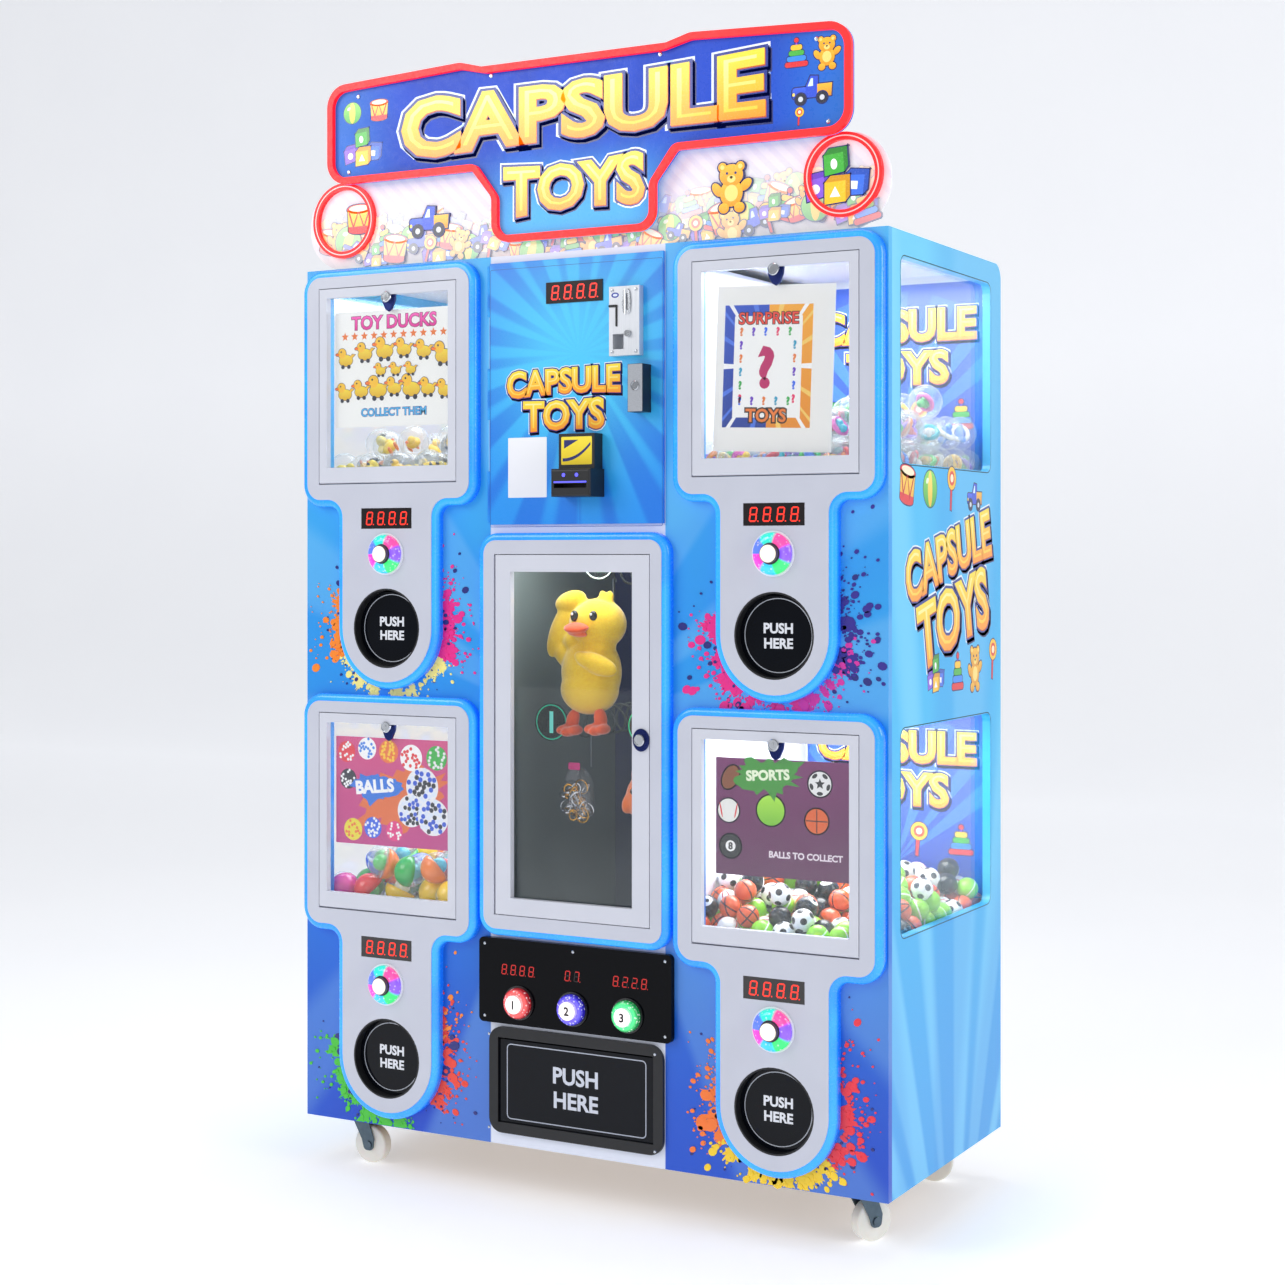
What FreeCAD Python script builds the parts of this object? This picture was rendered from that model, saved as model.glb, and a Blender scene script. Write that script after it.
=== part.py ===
"""Five-station capsule and plush prize vending cabinet on casters, with a lit header sign.

Frame: origin on the floor at the centre of the outline, +X to the player's right,
+Y to the back, +Z up, millimetres.  Places on the front are given as a drop below the
cabinet's top, because all five stations hang from that edge.
"""
import FreeCAD, Part
import math
import os

from FreeCAD import Vector as V

os.makedirs("parts", exist_ok=True)

# ---------------------------------------------------------------- driving dimensions (mm)
cabinet_width = 1260.0
cabinet_depth = 580.0
cabinet_height = 1700.0
caster_height = 100.0
front_reach = 60.0            # how far the bill acceptor stands out of the front panel
board = 16.0                  # thickness of every carcass board
column_pitch = 420.0          # centre to centre of the three columns
station_pitch = 845.0         # drop from an upper station to the one below it
top_corner_radius = 30.0      # bend between the top and the back

bezel_thickness = 22.0
light_edge_width = 14.0
light_edge_thickness = 20.0
light_edge_round = 9.0
bezel_half_width = 207.0
bezel_top = 4.0
bezel_shoulder = 476.0
bezel_corner = 45.0
shoulder_fillet = 22.0
neck_half_width = 120.0

door_gap = 1.5                # all round every door
door_width = 326.0
door_top = 42.0
door_height = 388.0
door_frame_side = 18.0
door_frame_bottom = 32.0
door_lip = 8.0                # how far the front panel closes in behind a door
glass_rebate = 6.0            # frame over the edge of its glass
glass_edge_gap = 0.4
glass_setback = 3.0           # glass in front of the frame's rear face
pin_root = 4.0                # pivot pin's length inside the frame
pivot_inset = 5.0             # pivot axis to the door's edge and face
pivot_radius = 2.0
pivot_length = 6.0
glass_thickness = 5.0
running_clearance = 0.06      # radial, for a pin or a shaft that turns
slide_clearance = 0.3         # radial, for a button in its housing
hole_clearance = 0.5          # for a barrel, plug or plate that passes through a board

display_width = 120.0
display_height = 40.0
display_drop = 500.0
display_gap = 0.3
display_recess = 0.5
play_button_drop = 570.0
play_button_radius = 41.0
select_button_radius = 32.5
button_rim_width = 3.0
button_rim_height = 4.0
button_height = 25.0
button_cap_radius = 17.5
button_cap_height = 9.0
button_stem_radius = 6.0
button_barrel_radius = 14.0
button_barrel_length = 50.0
button_nut_ring, button_nut_height = 6.0, 6.0
button_travel = 3.5
button_sink = 1.0             # housing's floor below the mounting face
button_end_gap = 0.5          # dome above that floor when it is pressed
button_brim = 3.0             # straight side of the dome
button_edge = 2.0             # bevel round the cap
button_bow = 3.0              # how far the dome's side bulges
stem_root = 1.0
barrel_end_wall = 4.0

chute_drop = 716.0
chute_mouth_radius = 75.0
chute_wall = 3.0
chute_collar_depth = 19.0
chute_flange = 3.0
chute_flange_radius = 99.0
chute_well_radius = 100.0     # hole through the front panel that the flap swings in
chute_box_half = 98.0         # inside, across and up
chute_box_depth = 150.0
duct_half = 38.0
flap_thickness = 4.0
flap_overlap = 3.0            # flap edge beyond the mouth it closes
flap_gap = 0.4
flap_axis_rise = 70.0         # hinge above the mouth's centre
flap_barrel_radius = 3.0
flap_barrel_half = 29.5
flap_pin_radius = 1.5
flap_cut_gap = 2.0            # disc's straight top edge below its barrel
flap_tab_drop = 8.0
flap_tab_rise = 1.0
ear_width = 6.0
ear_gap = 0.5
ear_below, ear_above = 3.5, 4.0
collar_clearance = 0.3        # round the collar and in front of its flange

floor_drop = 432.0            # top of a bin floor below its station's top
disc_setback = 180.0          # disc centre behind the front face
disc_radius = 110.0
disc_height = 74.0
disc_clearance = 3.0
disc_end_gap = 2.0            # above and below the disc
cup_rise = 4.0                # how far the disc stands above the floor board's underside
hub_low_radius, hub_high_radius, hub_height = 20.0, 6.0, 22.0
shaft_hole_gap = 1.0
pocket_radius = 36.0
pocket_circle = 68.0
pocket_count = 3
pocket_start = 90.0           # angle of the first pocket, clear of the drop hole
cup_wall = 4.0
disc_shaft_radius = 4.0
disc_shaft_length = 15.0
motor_width = 50.0
motor_height = 60.0
bore_end_gap = 3.0            # past the end of a shaft in its motor

coin_door_half_width = 189.0
coin_door_top = 14.0
coin_door_bottom = 514.0
coin_door_proud = 6.0
coin_door_skirt = 14.0
coin_door_lap = 9.0           # door over the edge of its hole
skirt_clearance = 3.0
skirt_wall = 2.0
coin_door_gap = 0.4           # behind the closed door
hinge_radius = 3.0
hinge_pin_radius = 1.5
hinge_knuckles = 5
hinge_inset = 4.0             # first knuckle below the door's corner
hinge_gap = 0.3
web_thickness = 1.4
hinge_leaf_width = 8.0
hinge_lift = 0.2              # knuckles off the front panel
acceptor_x, acceptor_drop = 115.0, 140.0
acceptor_width, acceptor_height, acceptor_proud = 64.0, 128.0, 15.0
acceptor_body_depth = 45.0
acceptor_rim = 6.0            # faceplate round the body behind it
coin_slot_width, coin_slot_height = 3.2, 30.0
coin_slot_offset, coin_slot_inset, coin_slot_depth = 6.0, 14.0, 30.0
coin_return_width, coin_return_height, coin_return_recess = 23.0, 28.0, 35.0
coin_return_inset = 8.0       # from the faceplate's left edge
coin_return_rise = 12.0       # from the faceplate's bottom edge
reject_bore_depth = 20.0      # behind the door's face
reject_x, reject_drop = 124.0, 164.0
reject_radius, reject_height, reject_travel = 6.0, 6.0, 3.0
lock_box_x, lock_box_drop = 148.0, 266.0
lock_box_width, lock_box_height, lock_box_proud = 31.0, 88.0, 33.0
coin_display_width, coin_display_drop = 123.0, 78.0
display_skin = 2.0
bill_x, bill_top, bill_split, bill_bottom = 22.0, 346.0, 412.0, 464.0
bill_head_width, bill_nose_width, bill_head_proud = 77.0, 85.0, 36.0
bill_mouth_width, bill_mouth_height, bill_mouth_depth = 70.0, 8.0, 34.0
bill_mouth_offset = 6.0       # below the middle of the nose
bill_nose_round = 5.0

centre_top, centre_bottom, centre_corner = 530.0, 1298.0, 40.0
centre_door_width, centre_door_top, centre_door_height = 336.0, 572.0, 684.0
centre_frame_side = 36.0
centre_frame_end = 32.0
centre_shelf_drop = 514.0

panel_half_width, panel_top, panel_bottom = 209.0, 1304.0, 1466.0
panel_proud, panel_corner = 12.0, 10.0
select_pitch, select_drop = 118.0, 1423.0

bin_half_width, bin_top, bin_bottom = 189.0, 1474.0, 1676.0
bin_proud, bin_corner, bin_border = 8.0, 28.0, 20.0
bin_depth = 320.0
bin_hood_depth = 80.0
bin_room = 3.0                # round the wide flap
bin_flap_axis_drop = 8.0      # hinge below the flap's top edge
bin_flap_sink = 3.0           # flap's face in front of the front panel's face
bin_barrel_inset = 12.0
bin_ear_start, bin_ear_end = 5.5, 11.5    # from the flap's side edge
bin_ear_front, bin_ear_back, bin_ear_below = 2.2, 3.5, 2.0
bin_arm_gap = 0.6
bin_pin_inset = 8.0

side_window_front, side_window_back = 57.0, 520.0
side_window_top, side_window_bottom = 45.0, 410.0
lower_window_top, lower_window_bottom = 880.0, 1248.0
side_window_corner = 18.0
side_pane_thickness = 4.0
side_pane_overlap = 10.0

sign_board_thickness = 5.0
sign_setback = 12.0           # lower board's face behind the front face
sign_step = 20.0              # upper board in front of the lower one
lower_sign_height = 172.0
lower_sign_corner = 82.0
upper_half_width = 567.0
upper_top_outer, upper_peak, upper_centre = 362.0, 377.0, 364.0
upper_bottom, tab_bottom = 166.0, 24.0
upper_corner = 45.0
dip_half, dip_round = 200.0, 20.0          # middle of the top edge, between the peaks
peak_half, peak_round = 250.0, 40.0
shoulder_half, shoulder_round = 222.0, 10.0
tab_half, tab_shoulder, tab_shoulder_round, tab_round = 178.0, 112.0, 20.0, 38.0
neon_width, neon_height = 13.0, 10.0
neon_ring_radius, neon_ring_x, neon_ring_rise = 75.0, 542.0, 97.0
bracket_x = (-430.0, -150.0, 150.0, 430.0)
bracket_width, bracket_thickness, bracket_foot = 30.0, 4.0, 60.0
bracket_rise = 320.0
spacer_radius, spacer_inset, low_spacer_rise = 9.0, 25.0, 30.0

caster_x, caster_inset = 545.0, 75.0
wheel_radius, wheel_width, hub_width, hub_radius = 37.5, 24.0, 27.0, 13.0
axle_radius = 4.0
fork_gauge = 3.0
fork_gap = 1.0                # between a hub's face and its fork leg
trail = 24.0
kingpin_radius = 6.0
caster_plate_x, caster_plate_y, caster_plate_t = 105.0, 85.0, 3.0
race_radius, race_height = 24.0, 7.0
swivel_gap = 0.4
yoke_thickness, yoke_back, yoke_front = 4.0, 16.0, 22.0
leg_above, leg_below = 12.0, 11.0          # leg's corners above and below the axle
leg_high_front, leg_low_front, leg_low_back, leg_high_back = 13.0, 10.0, 10.0, 16.0
boss_radius, boss_height = 8.0, 2.5
tread_round = 4.0
caster_angles = {1: 0.0, 2: 60.0, 3: 150.0, 4: 195.0}   # where each fork trails at rest

spiral_coil_radius, spiral_wire_radius, spiral_pitch = 28.0, 2.5, 42.0
spiral_turns = 7
spiral_places = ((-105.0, 905.0), (0.0, 600.0), (105.0, 905.0))   # x and drop
spiral_motor_size = 56.0
spiral_motor_depth = 60.0
spiral_motor_gap = 2.0        # hub to motor
spiral_hub_radius, spiral_hub_length = 10.0, 14.0
spiral_hub_lead = 6.0         # hub in front of the wire's end
spiral_shaft_length = 12.0

vent_count, vent_width, vent_height, vent_pitch = 9, 160.0, 6.0, 14.0
inlet_x, inlet_z, inlet_width, inlet_height, inlet_depth = 500.0, 200.0, 50.0, 28.0, 30.0
inlet_sink = 1.0
inlet_well_width, inlet_well_height, inlet_well_depth = 26.0, 17.0, 20.0
contact_width, contact_height, contact_length = 2.0, 4.0, 15.0
contact_places = ((-7.0, -2.0), (0.0, 3.0), (7.0, -2.0))

# ---------------------------------------------------------------- places worked out once
total_depth = cabinet_depth + front_reach
back = total_depth / 2
front = back - cabinet_depth                  # outer face of the front panel
behind_front = front + board
inside_back = back - board
cabinet_top = caster_height + cabinet_height
half = cabinet_width / 2
bezel_face = front - bezel_thickness
door_depth = bezel_thickness - 1.0
partition_x = column_pitch / 2
disc_y = front + disc_setback
drop_y = disc_y - pocket_circle
cup_radius = disc_radius + disc_clearance
cup_bottom_drop = floor_drop + board + disc_height - cup_rise
stations = {1: (-column_pitch, 0.0), 2: (column_pitch, 0.0),
            3: (-column_pitch, station_pitch), 4: (column_pitch, station_pitch)}


def z_at(drop):
    """Height of a place that hangs `drop` below the cabinet's top."""
    return cabinet_top - drop


def box(x0, x1, y0, y1, z0, z1):
    return Part.makeBox(x1 - x0, y1 - y0, z1 - z0, V(x0, y0, z0))


def rod_y(x, z, radius, y0, y1):
    return Part.makeCylinder(radius, y1 - y0, V(x, y0, z), V(0, 1, 0))


def rod_x(y, z, radius, x0, x1):
    return Part.makeCylinder(radius, x1 - x0, V(x0, y, z), V(1, 0, 0))


def rod_z(x, y, radius, z0, z1):
    return Part.makeCylinder(radius, z1 - z0, V(x, y, z0), V(0, 0, 1))


def rounded_wire(corners):
    """Closed wire through (x, z, radius) corners; each corner becomes a tangent arc."""
    count = len(corners)
    starts, mids, ends = [], [], []
    for i, (x, z, radius) in enumerate(corners):
        here = V(x, 0, z)
        before, after = corners[i - 1], corners[(i + 1) % count]
        to_before = (V(before[0], 0, before[1]) - here).normalize()
        to_after = (V(after[0], 0, after[1]) - here).normalize()
        half_turn = to_before.getAngle(to_after) / 2
        reach = radius / math.tan(half_turn)
        bisector = (to_before + to_after).normalize()
        starts.append(here + to_before * reach)
        ends.append(here + to_after * reach)
        mids.append(here + bisector * (radius / math.sin(half_turn) - radius))
    edges = []
    for i in range(count):
        if corners[i][2] > 0:
            edges.append(Part.Arc(starts[i], mids[i], ends[i]).toShape())
        nxt = (i + 1) % count
        if (starts[nxt] - ends[i]).Length > 1e-6:
            edges.append(Part.LineSegment(ends[i], starts[nxt]).toShape())
    return Part.Wire(Part.__sortEdges__(edges))


def slab(corners, y0, y1):
    """Plate between y0 and y1 with the outline of the rounded corners."""
    face = Part.Face(rounded_wire(corners))
    plate = face.extrude(V(0, y1 - y0, 0))
    plate.translate(V(0, y0, 0))
    return plate


def rounded_rect(x0, x1, drop0, drop1, radius):
    z0, z1 = z_at(drop1), z_at(drop0)
    return [(x0, z0, radius), (x0, z1, radius), (x1, z1, radius), (x1, z0, radius)]


def keyhole(cx, drop, inset=0.0):
    """Outline of a side station: a wide window field above a round-ended neck."""
    wide = bezel_half_width - inset
    neck = neck_half_width - inset
    top = z_at(drop + bezel_top + inset)
    shoulder = z_at(drop + bezel_shoulder - inset)
    bottom = z_at(drop + chute_drop + neck_half_width - inset)
    convex, concave = bezel_corner - inset, shoulder_fillet + inset
    right = [(wide, top, convex), (wide, shoulder, convex), (neck, shoulder, concave),
             (neck, bottom, neck)]
    left = [(-x, z, r) for x, z, r in reversed(right)]
    return [(cx + x, z, r) for x, z, r in right + left]


def centre_outline(inset=0.0):
    wide = bezel_half_width - inset
    return rounded_rect(-wide, wide, centre_top + inset, centre_bottom - inset,
                        centre_corner - inset)


def face_edges(shape, y):
    """Edges of the flat face that lies in the plane y, for rounding."""
    for face in shape.Faces:
        if abs(face.BoundBox.YMin - y) < 1e-4 and face.BoundBox.YLength < 1e-4:
            return face.Edges
    raise ValueError("no face in that plane")


def save(node, solids):
    """Write one node's STEP file; a list becomes one compound of separate solids."""
    solids = solids if isinstance(solids, (list, tuple)) else [solids]
    flat = [s for item in solids for s in item.Solids]
    for solid in flat:
        if not solid.isValid():
            raise ValueError("bad solid in " + node)
    shape = flat[0] if len(flat) == 1 else Part.makeCompound(flat)
    shape.exportStep(os.path.join("parts", node + ".step"))
    bounds = shape.BoundBox
    print("%-22s %3d solids  x %.1f..%.1f  y %.1f..%.1f  z %.1f..%.1f" % (
        node, len(flat), bounds.XMin, bounds.XMax, bounds.YMin, bounds.YMax,
        bounds.ZMin, bounds.ZMax))


# ---------------------------------------------------------------- carcass
def base_panel():
    inner = half - board
    return box(-inner, inner, behind_front, inside_back, caster_height, caster_height + board)


def top_panel():
    """Top board whose rear edge bends down in a quarter round to meet the back board."""
    outer = top_corner_radius
    inner = top_corner_radius - board
    centre = V(0, back - outer, cabinet_top - outer)

    def on_arc(radius, degrees):
        angle = math.radians(degrees)
        return centre + V(0, radius * math.cos(angle), radius * math.sin(angle))

    points = [V(0, behind_front, cabinet_top), on_arc(outer, 90), on_arc(outer, 0),
              on_arc(inner, 0), on_arc(inner, 90), V(0, behind_front, cabinet_top - board)]
    edges = [Part.LineSegment(points[0], points[1]).toShape(),
             Part.Arc(points[1], on_arc(outer, 45), points[2]).toShape(),
             Part.LineSegment(points[2], points[3]).toShape(),
             Part.Arc(points[3], on_arc(inner, 45), points[4]).toShape(),
             Part.LineSegment(points[4], points[5]).toShape(),
             Part.LineSegment(points[5], points[0]).toShape()]
    width = 2 * (half - board)
    body = Part.Face(Part.Wire(edges)).extrude(V(width, 0, 0))
    body.translate(V(-width / 2, 0, 0))
    return body


def side_window_outline(pane=0.0):
    rows = ((side_window_top, side_window_bottom), (lower_window_top, lower_window_bottom))
    y0, y1 = front + side_window_front - pane, front + side_window_back + pane
    radius = side_window_corner + pane
    return [rounded_rect(y0, y1, t0 - pane, t1 + pane, radius) for t0, t1 in rows]


def turned_slab(corners, x0, x1):
    """Plate whose outline is given in Y and Z, between x0 and x1."""
    plate = slab(corners, 0.0, x1 - x0)
    plate.rotate(V(0, 0, 0), V(0, 0, 1), 90)
    plate.translate(V(x1, 0, 0))
    return plate


def side_panels():
    outline = [(behind_front, caster_height, 0), (behind_front, cabinet_top, 0),
               (back, cabinet_top, top_corner_radius), (back, caster_height, 0)]
    made = []
    for x0 in (-half, half - board):
        side = turned_slab(outline, x0, x0 + board)
        for window in side_window_outline():
            side = side.cut(turned_slab(window, x0 - 1, x0 + board + 1))
        made.append(side)
    return made


def side_windows():
    """Clear panes that lie against the inner faces of the side boards."""
    made = []
    for x0 in (-half + board, half - board - side_pane_thickness):
        for pane in side_window_outline(side_pane_overlap):
            made.append(turned_slab(pane, x0, x0 + side_pane_thickness))
    return made


def back_panel():
    inner = half - board
    panel = box(-inner, inner, inside_back, back, caster_height,
                cabinet_top - top_corner_radius)
    for x in (-column_pitch, 0.0, column_pitch):
        for drop in (display_drop, station_pitch + display_drop):
            for i in range(vent_count):
                z = z_at(drop) - i * vent_pitch
                panel = panel.cut(box(x - vent_width / 2, x + vent_width / 2,
                                      inside_back - 1, back + 1, z - vent_height, z))
    grow = hole_clearance
    return panel.cut(box(inlet_x - inlet_width / 2 - grow, inlet_x + inlet_width / 2 + grow,
                         inside_back - 1, back + 1, inlet_z - inlet_height / 2 - grow,
                         inlet_z + inlet_height / 2 + grow))


def power_inlet():
    """Socket set in the back board, its three contacts at the bottom of the well."""
    body = box(inlet_x - inlet_width / 2, inlet_x + inlet_width / 2, back - inlet_depth,
               back - inlet_sink, inlet_z - inlet_height / 2, inlet_z + inlet_height / 2)
    floor = back - inlet_well_depth
    well_x, well_z = inlet_well_width / 2, inlet_well_height / 2
    body = body.cut(box(inlet_x - well_x, inlet_x + well_x, floor, back, inlet_z - well_z,
                        inlet_z + well_z))
    half_wide, half_high = contact_width / 2, contact_height / 2
    for dx, dz in contact_places:
        x, z = inlet_x + dx, inlet_z + dz
        body = body.fuse(box(x - half_wide, x + half_wide, floor, floor + contact_length,
                             z - half_high, z + half_high))
    return body.removeSplitter()


def inner_walls():
    """Two partitions, the shelves between stations and the four bin floors with cups."""
    low, high = caster_height + board, cabinet_top - top_corner_radius
    walls = []
    for x in (-partition_x, partition_x):
        walls.append(box(x - board / 2, x + board / 2, behind_front, inside_back, low, high))
    inner = partition_x + board / 2
    outer = half - board
    for side in (-1, 1):
        x0, x1 = sorted((side * inner, side * outer))
        walls.append(box(x0, x1, behind_front, inside_back,
                         z_at(station_pitch + board), z_at(station_pitch)))
    centre = partition_x - board / 2
    walls.append(box(-centre, centre, behind_front, inside_back,
                     z_at(centre_shelf_drop + board), z_at(centre_shelf_drop)))
    for cx, drop in stations.values():
        side = 1 if cx > 0 else -1
        x0, x1 = sorted((side * inner, side * outer))
        top, under = z_at(drop + floor_drop), z_at(drop + floor_drop + board)
        bottom = z_at(drop + cup_bottom_drop)
        floor = box(x0, x1, behind_front, inside_back, under, top)
        cup = rod_z(cx, disc_y, cup_radius + cup_wall, bottom - cup_wall, under)
        floor = floor.fuse(cup).cut(rod_z(cx, disc_y, cup_radius, bottom, top + 1))
        floor = floor.cut(rod_z(cx, drop_y, pocket_radius + shaft_hole_gap,
                                bottom - cup_wall - 1, bottom + 1))
        hole = disc_shaft_radius + shaft_hole_gap
        floor = floor.cut(rod_z(cx, disc_y, hole, bottom - cup_wall - 1, bottom + 1))
        walls.append(floor)
    return walls


def door_cut(cx, width, drop, height, y0, y1, grow):
    return box(cx - width / 2 - grow, cx + width / 2 + grow, y0, y1,
               z_at(drop + height) - grow, z_at(drop) + grow)


def front_panel():
    panel = box(-half, half, front, behind_front, caster_height, cabinet_top)
    y0, y1 = front - 1, behind_front + 1
    for cx, drop in stations.values():
        panel = panel.cut(door_cut(cx, door_width, drop + door_top, door_height, y0, y1,
                                   -door_lip))
        panel = panel.cut(rod_y(cx, z_at(drop + play_button_drop),
                                button_barrel_radius + hole_clearance, y0, y1))
        panel = panel.cut(rod_y(cx, z_at(drop + chute_drop), chute_well_radius, y0, y1))
    panel = panel.cut(door_cut(0, centre_door_width, centre_door_top, centre_door_height,
                               y0, y1, -door_lip))
    opening = coin_door_half_width - coin_door_lap
    panel = panel.cut(box(-opening, opening, y0, y1, z_at(coin_door_bottom - coin_door_lap),
                          z_at(coin_door_top + coin_door_lap)))
    for x in (-select_pitch, 0.0, select_pitch):
        panel = panel.cut(rod_y(x, z_at(select_drop), button_barrel_radius + hole_clearance,
                                y0, y1))
    _, (flap_w, flap_t, flap_b) = bin_numbers()
    reach = bin_room + chute_wall
    return panel.cut(box(-flap_w - reach, flap_w + reach, y0, y1, z_at(flap_b + reach),
                         z_at(flap_t - reach)))


# ---------------------------------------------------------------- stations
def pivot_holes(cx, width, drop, height, sideways):
    """Bores in a bezel for a door's two pivot pins."""
    radius = pivot_radius + running_clearance
    reach = door_gap + pivot_length + 1.0
    y = bezel_face + pivot_inset
    if sideways:
        z = z_at(drop + height) + pivot_inset
        return [rod_x(y, z, radius, cx - width / 2 - reach, cx - width / 2),
                rod_x(y, z, radius, cx + width / 2, cx + width / 2 + reach)]
    x = cx - width / 2 + pivot_inset
    return [rod_z(x, y, radius, z_at(drop), z_at(drop) + reach),
            rod_z(x, y, radius, z_at(drop + height) - reach, z_at(drop + height))]


def station_bezel(cx, drop):
    plate = slab(keyhole(cx, drop, light_edge_width), bezel_face, front)
    plate = plate.cut(door_cut(cx, door_width, drop + door_top, door_height,
                               bezel_face - 1, front + 1, door_gap))
    for bore in pivot_holes(cx, door_width, drop + door_top, door_height, True):
        plate = plate.cut(bore)
    grow = display_gap
    plate = plate.cut(box(cx - display_width / 2 - grow, cx + display_width / 2 + grow,
                          bezel_face - 1, front + 1,
                          z_at(drop + display_drop + display_height / 2) - grow,
                          z_at(drop + display_drop - display_height / 2) + grow))
    plate = plate.cut(rod_y(cx, z_at(drop + play_button_drop),
                            button_barrel_radius + hole_clearance, bezel_face - 1, front + 1))
    z = z_at(drop + chute_drop)
    plate = plate.cut(rod_y(cx, z, chute_mouth_radius + chute_wall + collar_clearance,
                            bezel_face - 1, front + 1))
    flange_front = bezel_face + chute_collar_depth - chute_flange
    return plate.cut(rod_y(cx, z, chute_well_radius, flange_front - collar_clearance,
                           front + 1))


def window_bezels():
    made = [station_bezel(cx, drop) for cx, drop in stations.values()]
    plate = slab(centre_outline(light_edge_width), bezel_face, front)
    plate = plate.cut(door_cut(0, centre_door_width, centre_door_top, centre_door_height,
                               bezel_face - 1, front + 1, door_gap))
    for bore in pivot_holes(0, centre_door_width, centre_door_top, centre_door_height, False):
        plate = plate.cut(bore)
    return made + [plate]


def bezel_light_edges():
    """Translucent strips round the bezels, with a bull-nosed outer front edge."""
    face_y = front - light_edge_thickness
    pairs = [(keyhole(cx, drop), keyhole(cx, drop, light_edge_width))
             for cx, drop in stations.values()]
    pairs.append((centre_outline(), centre_outline(light_edge_width)))
    made = []
    for outer, inner in pairs:
        body = slab(outer, face_y, front)
        body = body.makeFillet(light_edge_round, face_edges(body, face_y))
        made.append(body.cut(slab(inner, face_y - 1, front + 1)))
    return made


def station_displays():
    made = []
    for cx, drop in stations.values():
        z = z_at(drop + display_drop)
        made.append(box(cx - display_width / 2, cx + display_width / 2,
                        bezel_face + display_recess, front, z - display_height / 2,
                        z + display_height / 2))
    return made


def framed_door(cx, width, drop, height, side, top, bottom, sideways):
    """Door frame with a rebate behind for its glass and two pivot pins."""
    x0, x1 = cx - width / 2, cx + width / 2
    z0, z1 = z_at(drop + height), z_at(drop)
    y0, y1 = bezel_face, bezel_face + door_depth
    frame = box(x0, x1, y0, y1, z0, z1)
    axis_y = y0 + pivot_inset
    rounding = pivot_inset - 0.2
    if sideways:
        keep = [e for e in frame.Edges if e.BoundBox.YMax < y0 + 0.1
                and e.BoundBox.ZMax < z0 + 0.1]
    else:
        keep = [e for e in frame.Edges if e.BoundBox.YMax < y0 + 0.1
                and e.BoundBox.XMax < x0 + 0.1]
    frame = frame.makeFillet(rounding, keep)
    frame = frame.cut(box(x0 + side, x1 - side, y0 - 1, y1 + 1, z0 + bottom, z1 - top))
    rebate, pane_y = glass_rebate, y1 - glass_thickness - glass_setback
    frame = frame.cut(box(x0 + side - rebate, x1 - side + rebate, pane_y, y1 + 1,
                          z0 + bottom - rebate, z1 - top + rebate))
    reach = door_gap + pivot_length
    if sideways:
        z = z0 + pivot_inset
        pins = [rod_x(axis_y, z, pivot_radius, x0 - reach, x0 + pin_root),
                rod_x(axis_y, z, pivot_radius, x1 - pin_root, x1 + reach)]
    else:
        x = x0 + pivot_inset
        pins = [rod_z(x, axis_y, pivot_radius, z1 - pin_root, z1 + reach),
                rod_z(x, axis_y, pivot_radius, z0 - reach, z0 + pin_root)]
    fit = rebate - glass_edge_gap
    pane = box(x0 + side - fit, x1 - side + fit, pane_y, pane_y + glass_thickness,
               z0 + bottom - fit, z1 - top + fit)
    return frame.fuse(pins).removeSplitter(), pane


def prize_flap(cx, drop):
    z = z_at(drop + chute_drop)
    y0 = bezel_face + chute_collar_depth + flap_gap
    y1 = y0 + flap_thickness
    axis_z, axis_y = z + flap_axis_rise, y1 + flap_barrel_radius
    radius = chute_mouth_radius + flap_overlap
    flap = rod_y(cx, z, radius, y0, y1)
    flap = flap.cut(box(cx - radius, cx + radius, y0 - 1, y1 + 1,
                        axis_z - flap_barrel_radius - flap_cut_gap, z + radius + 1))
    tab = box(cx - flap_barrel_half, cx + flap_barrel_half, y0, axis_y,
              axis_z - flap_tab_drop, axis_z + flap_tab_rise)
    flap = flap.fuse(tab).fuse(rod_x(axis_y, axis_z, flap_barrel_radius,
                                     cx - flap_barrel_half, cx + flap_barrel_half))
    bore = rod_x(axis_y, axis_z, flap_pin_radius + running_clearance,
                 cx - flap_barrel_half - 1, cx + flap_barrel_half + 1)
    return flap.cut(bore).removeSplitter()


def chute_collar(cx, drop):
    """Black collar and flange round a flap, with the ears and pin that the flap hangs on."""
    z = z_at(drop + chute_drop)
    collar_end = bezel_face + chute_collar_depth
    body = rod_y(cx, z, chute_mouth_radius + chute_wall, bezel_face, collar_end)
    body = body.fuse(rod_y(cx, z, chute_flange_radius, collar_end - chute_flange, collar_end))
    body = body.cut(rod_y(cx, z, chute_mouth_radius, bezel_face - 1, collar_end + 1))
    axis_z = z + flap_axis_rise
    axis_y = collar_end + flap_gap + flap_thickness + flap_barrel_radius
    start = flap_barrel_half + ear_gap
    reach = start + ear_width / 2
    for side in (-1, 1):
        x0, x1 = sorted((cx + side * start, cx + side * (start + ear_width)))
        body = body.fuse(box(x0, x1, collar_end - 1.0, axis_y + flap_barrel_radius,
                             axis_z - ear_below, axis_z + ear_above))
    pin = rod_x(axis_y, axis_z, flap_pin_radius, cx - reach, cx + reach)
    return body.fuse(pin).removeSplitter()


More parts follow.
